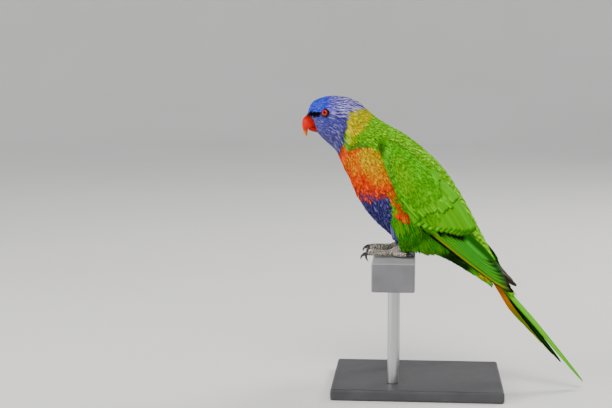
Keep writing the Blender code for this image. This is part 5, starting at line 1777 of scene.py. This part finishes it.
class LORIKEET_OT_perch(Operator):
    """Paint the rail and its caps, and finish the stand"""
    bl_idname = "lorikeet.perch"
    bl_label = "Perch and stand"

    def execute(self, context):
        finish = context.scene.lorikeet_finish
        rail, base = tuple(finish.rail), tuple(finish.base)
        for names, material in (
            (("perch_rail",),
             coated_surface("painted aluminium rail", rail, linear("#C6C8CA"), 0.38, 0.714)),
            (("perch_cap_left", "perch_cap_right"), coated_surface(
                "moulded polypropylene cap", linear("#5C5C60"), linear("#8A8A8E"), 0.55, 0.556)),
            (("stand_base",),
             coated_surface("powder coated steel base", base, linear("#5A5A5E"), 0.45, 0.455)),
            (("stand_rod_left", "stand_rod_right"), brushed_steel()),
        ):
            for name in names:
                node = frame["nodes"][name]
                node.data.materials.clear()
                node.data.materials.append(material)
        return {"FINISHED"}


class LORIKEET_OT_stage(Operator):
    """Set the pale floor that curves up all round, the soft lights and the camera"""
    bl_idname = "lorikeet.stage"
    bl_label = "Stage"

    def execute(self, context):
        stage = context.scene.lorikeet_stage
        self.floor()
        self.camera(context)
        for name, place, aim, power, size, colour in (
            ("key light", (0.05, -1.0, 1.45), (0.0, 0.0, 0.12), stage.key_power, 0.8, (1.0, 0.97, 0.92)),
            ("fill light", (-1.3, -0.6, 0.5), (0.0, 0.0, 0.15), stage.fill_power, 0.9, (1.0, 0.98, 0.96)),
            ("rim light", (0.9, 0.75, 1.1), (0.0, 0.0, 0.15), stage.rim_power, 0.6, (1.0, 0.98, 0.94)),
        ):
            light = bpy.data.lights.new(name, "AREA")
            light.energy = power
            light.size = size
            light.color = colour
            turn = (Vector(aim) - Vector(place)).to_track_quat("-Z", "Y").to_matrix().to_4x4()
            linked(name, light).matrix_world = Matrix.Translation(place) @ turn
        world = bpy.data.worlds.new("studio")
        world.use_nodes = True
        world.node_tree.nodes["Background"].inputs[0].default_value = (0.90, 0.93, 1.0, 1.0)
        world.node_tree.nodes["Background"].inputs[1].default_value = 0.5
        context.scene.world = world
        return {"FINISHED"}

    def floor(self):
        """A round floor with a wall that rises in a wide curve, alike from every side."""
        radius, bend, wall = 2.4, 0.9, 2.6
        profile = [(0.05 + (radius - 0.05) * k / 6, 0.0) for k in range(7)]
        for a in np.linspace(0.2, math.pi / 2, 8):
            profile.append((radius + bend * math.sin(a), bend * (1 - math.cos(a))))
        profile.append((radius + bend, wall))
        sides = 96
        points = [(0.0, 0.0, 0.0)]
        turns = [2 * math.pi * k / sides for k in range(sides)]
        for r, z in profile:
            points += [(r * math.cos(a), r * math.sin(a), z) for a in turns]
        faces = [[0, 1 + k, 1 + (k + 1) % sides] for k in range(sides)]
        for first in range(1, (len(profile) - 1) * sides, sides):
            for k in range(first, first + sides):
                n = first + (k - first + 1) % sides
                faces.append([k, k + sides, n + sides, n])
        mesh = bpy.data.meshes.new("floor")
        mesh.from_pydata(points, [], faces)
        mesh.shade_smooth()
        floor = linked("floor", mesh)
        floor.data.materials.append(floor_material())
        floor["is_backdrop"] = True

    def camera(self, context):
        """The photo's view: its direction, distance and framing."""
        data = bpy.data.cameras.new("camera")
        data.sensor_width = 36.0
        data.lens = CAMERA_LENS
        data.clip_start = 0.01
        data.clip_end = 20.0
        level = math.cos(CAMERA_PITCH)
        forward = Vector((
            -math.sin(CAMERA_YAW) * level, math.cos(CAMERA_YAW) * level, -math.sin(CAMERA_PITCH)))
        right = Vector((math.cos(CAMERA_YAW), math.sin(CAMERA_YAW), 0.0))
        turn = Matrix((right, right.cross(forward), -forward)).transposed().to_4x4()
        camera = linked("camera", data)
        camera.matrix_world = Matrix.Translation(Vector(in_frame(CAMERA_AT))) @ turn
        context.scene.camera = camera


class LORIKEET_PT_panel(Panel):
    """Lists the bird's pieces and settings"""
    bl_idname = "LORIKEET_PT_panel"
    bl_label = "Lorikeet"
    bl_space_type = "VIEW_3D"
    bl_region_type = "UI"
    bl_category = "Lorikeet"

    def draw(self, context):
        for operator in OPERATORS:
            self.layout.operator(operator.bl_idname)
        for settings in (
            context.scene.lorikeet_plumage, context.scene.lorikeet_finish, context.scene.lorikeet_stage,
        ):
            for name in settings.__annotations__:
                self.layout.prop(settings, name)


SETTINGS = {
    "lorikeet_plumage": PlumageSettings,
    "lorikeet_finish": FinishSettings,
    "lorikeet_stage": StageSettings,
}
OPERATORS = (
    LORIKEET_OT_skin, LORIKEET_OT_plumage, LORIKEET_OT_wings, LORIKEET_OT_tail, LORIKEET_OT_eyes,
    LORIKEET_OT_bill, LORIKEET_OT_feet, LORIKEET_OT_perch, LORIKEET_OT_stage,
)


def register():
    """Make the settings, operators and panel known to Blender."""
    for part in (*SETTINGS.values(), *OPERATORS, LORIKEET_PT_panel):
        bpy.utils.register_class(part)
    for name, settings in SETTINGS.items():
        setattr(bpy.types.Scene, name, PointerProperty(type=settings))


def unregister():
    """Take them away again."""
    for name in SETTINGS:
        delattr(bpy.types.Scene, name)
    for part in reversed((*SETTINGS.values(), *OPERATORS, LORIKEET_PT_panel)):
        bpy.utils.unregister_class(part)


def main():
    """Dress the bird piece by piece, then work out how large it came out."""
    register()
    for operator in OPERATORS:
        group, name = operator.bl_idname.split(".")
        getattr(getattr(bpy.ops, group), name)()
    boxes = {"cad": CAD_BOUNDS, "visual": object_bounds()}
    {name: [[float(value) for value in corner] for corner in box] for name, box in boxes.items()}


if __name__ == "__main__":
    main()
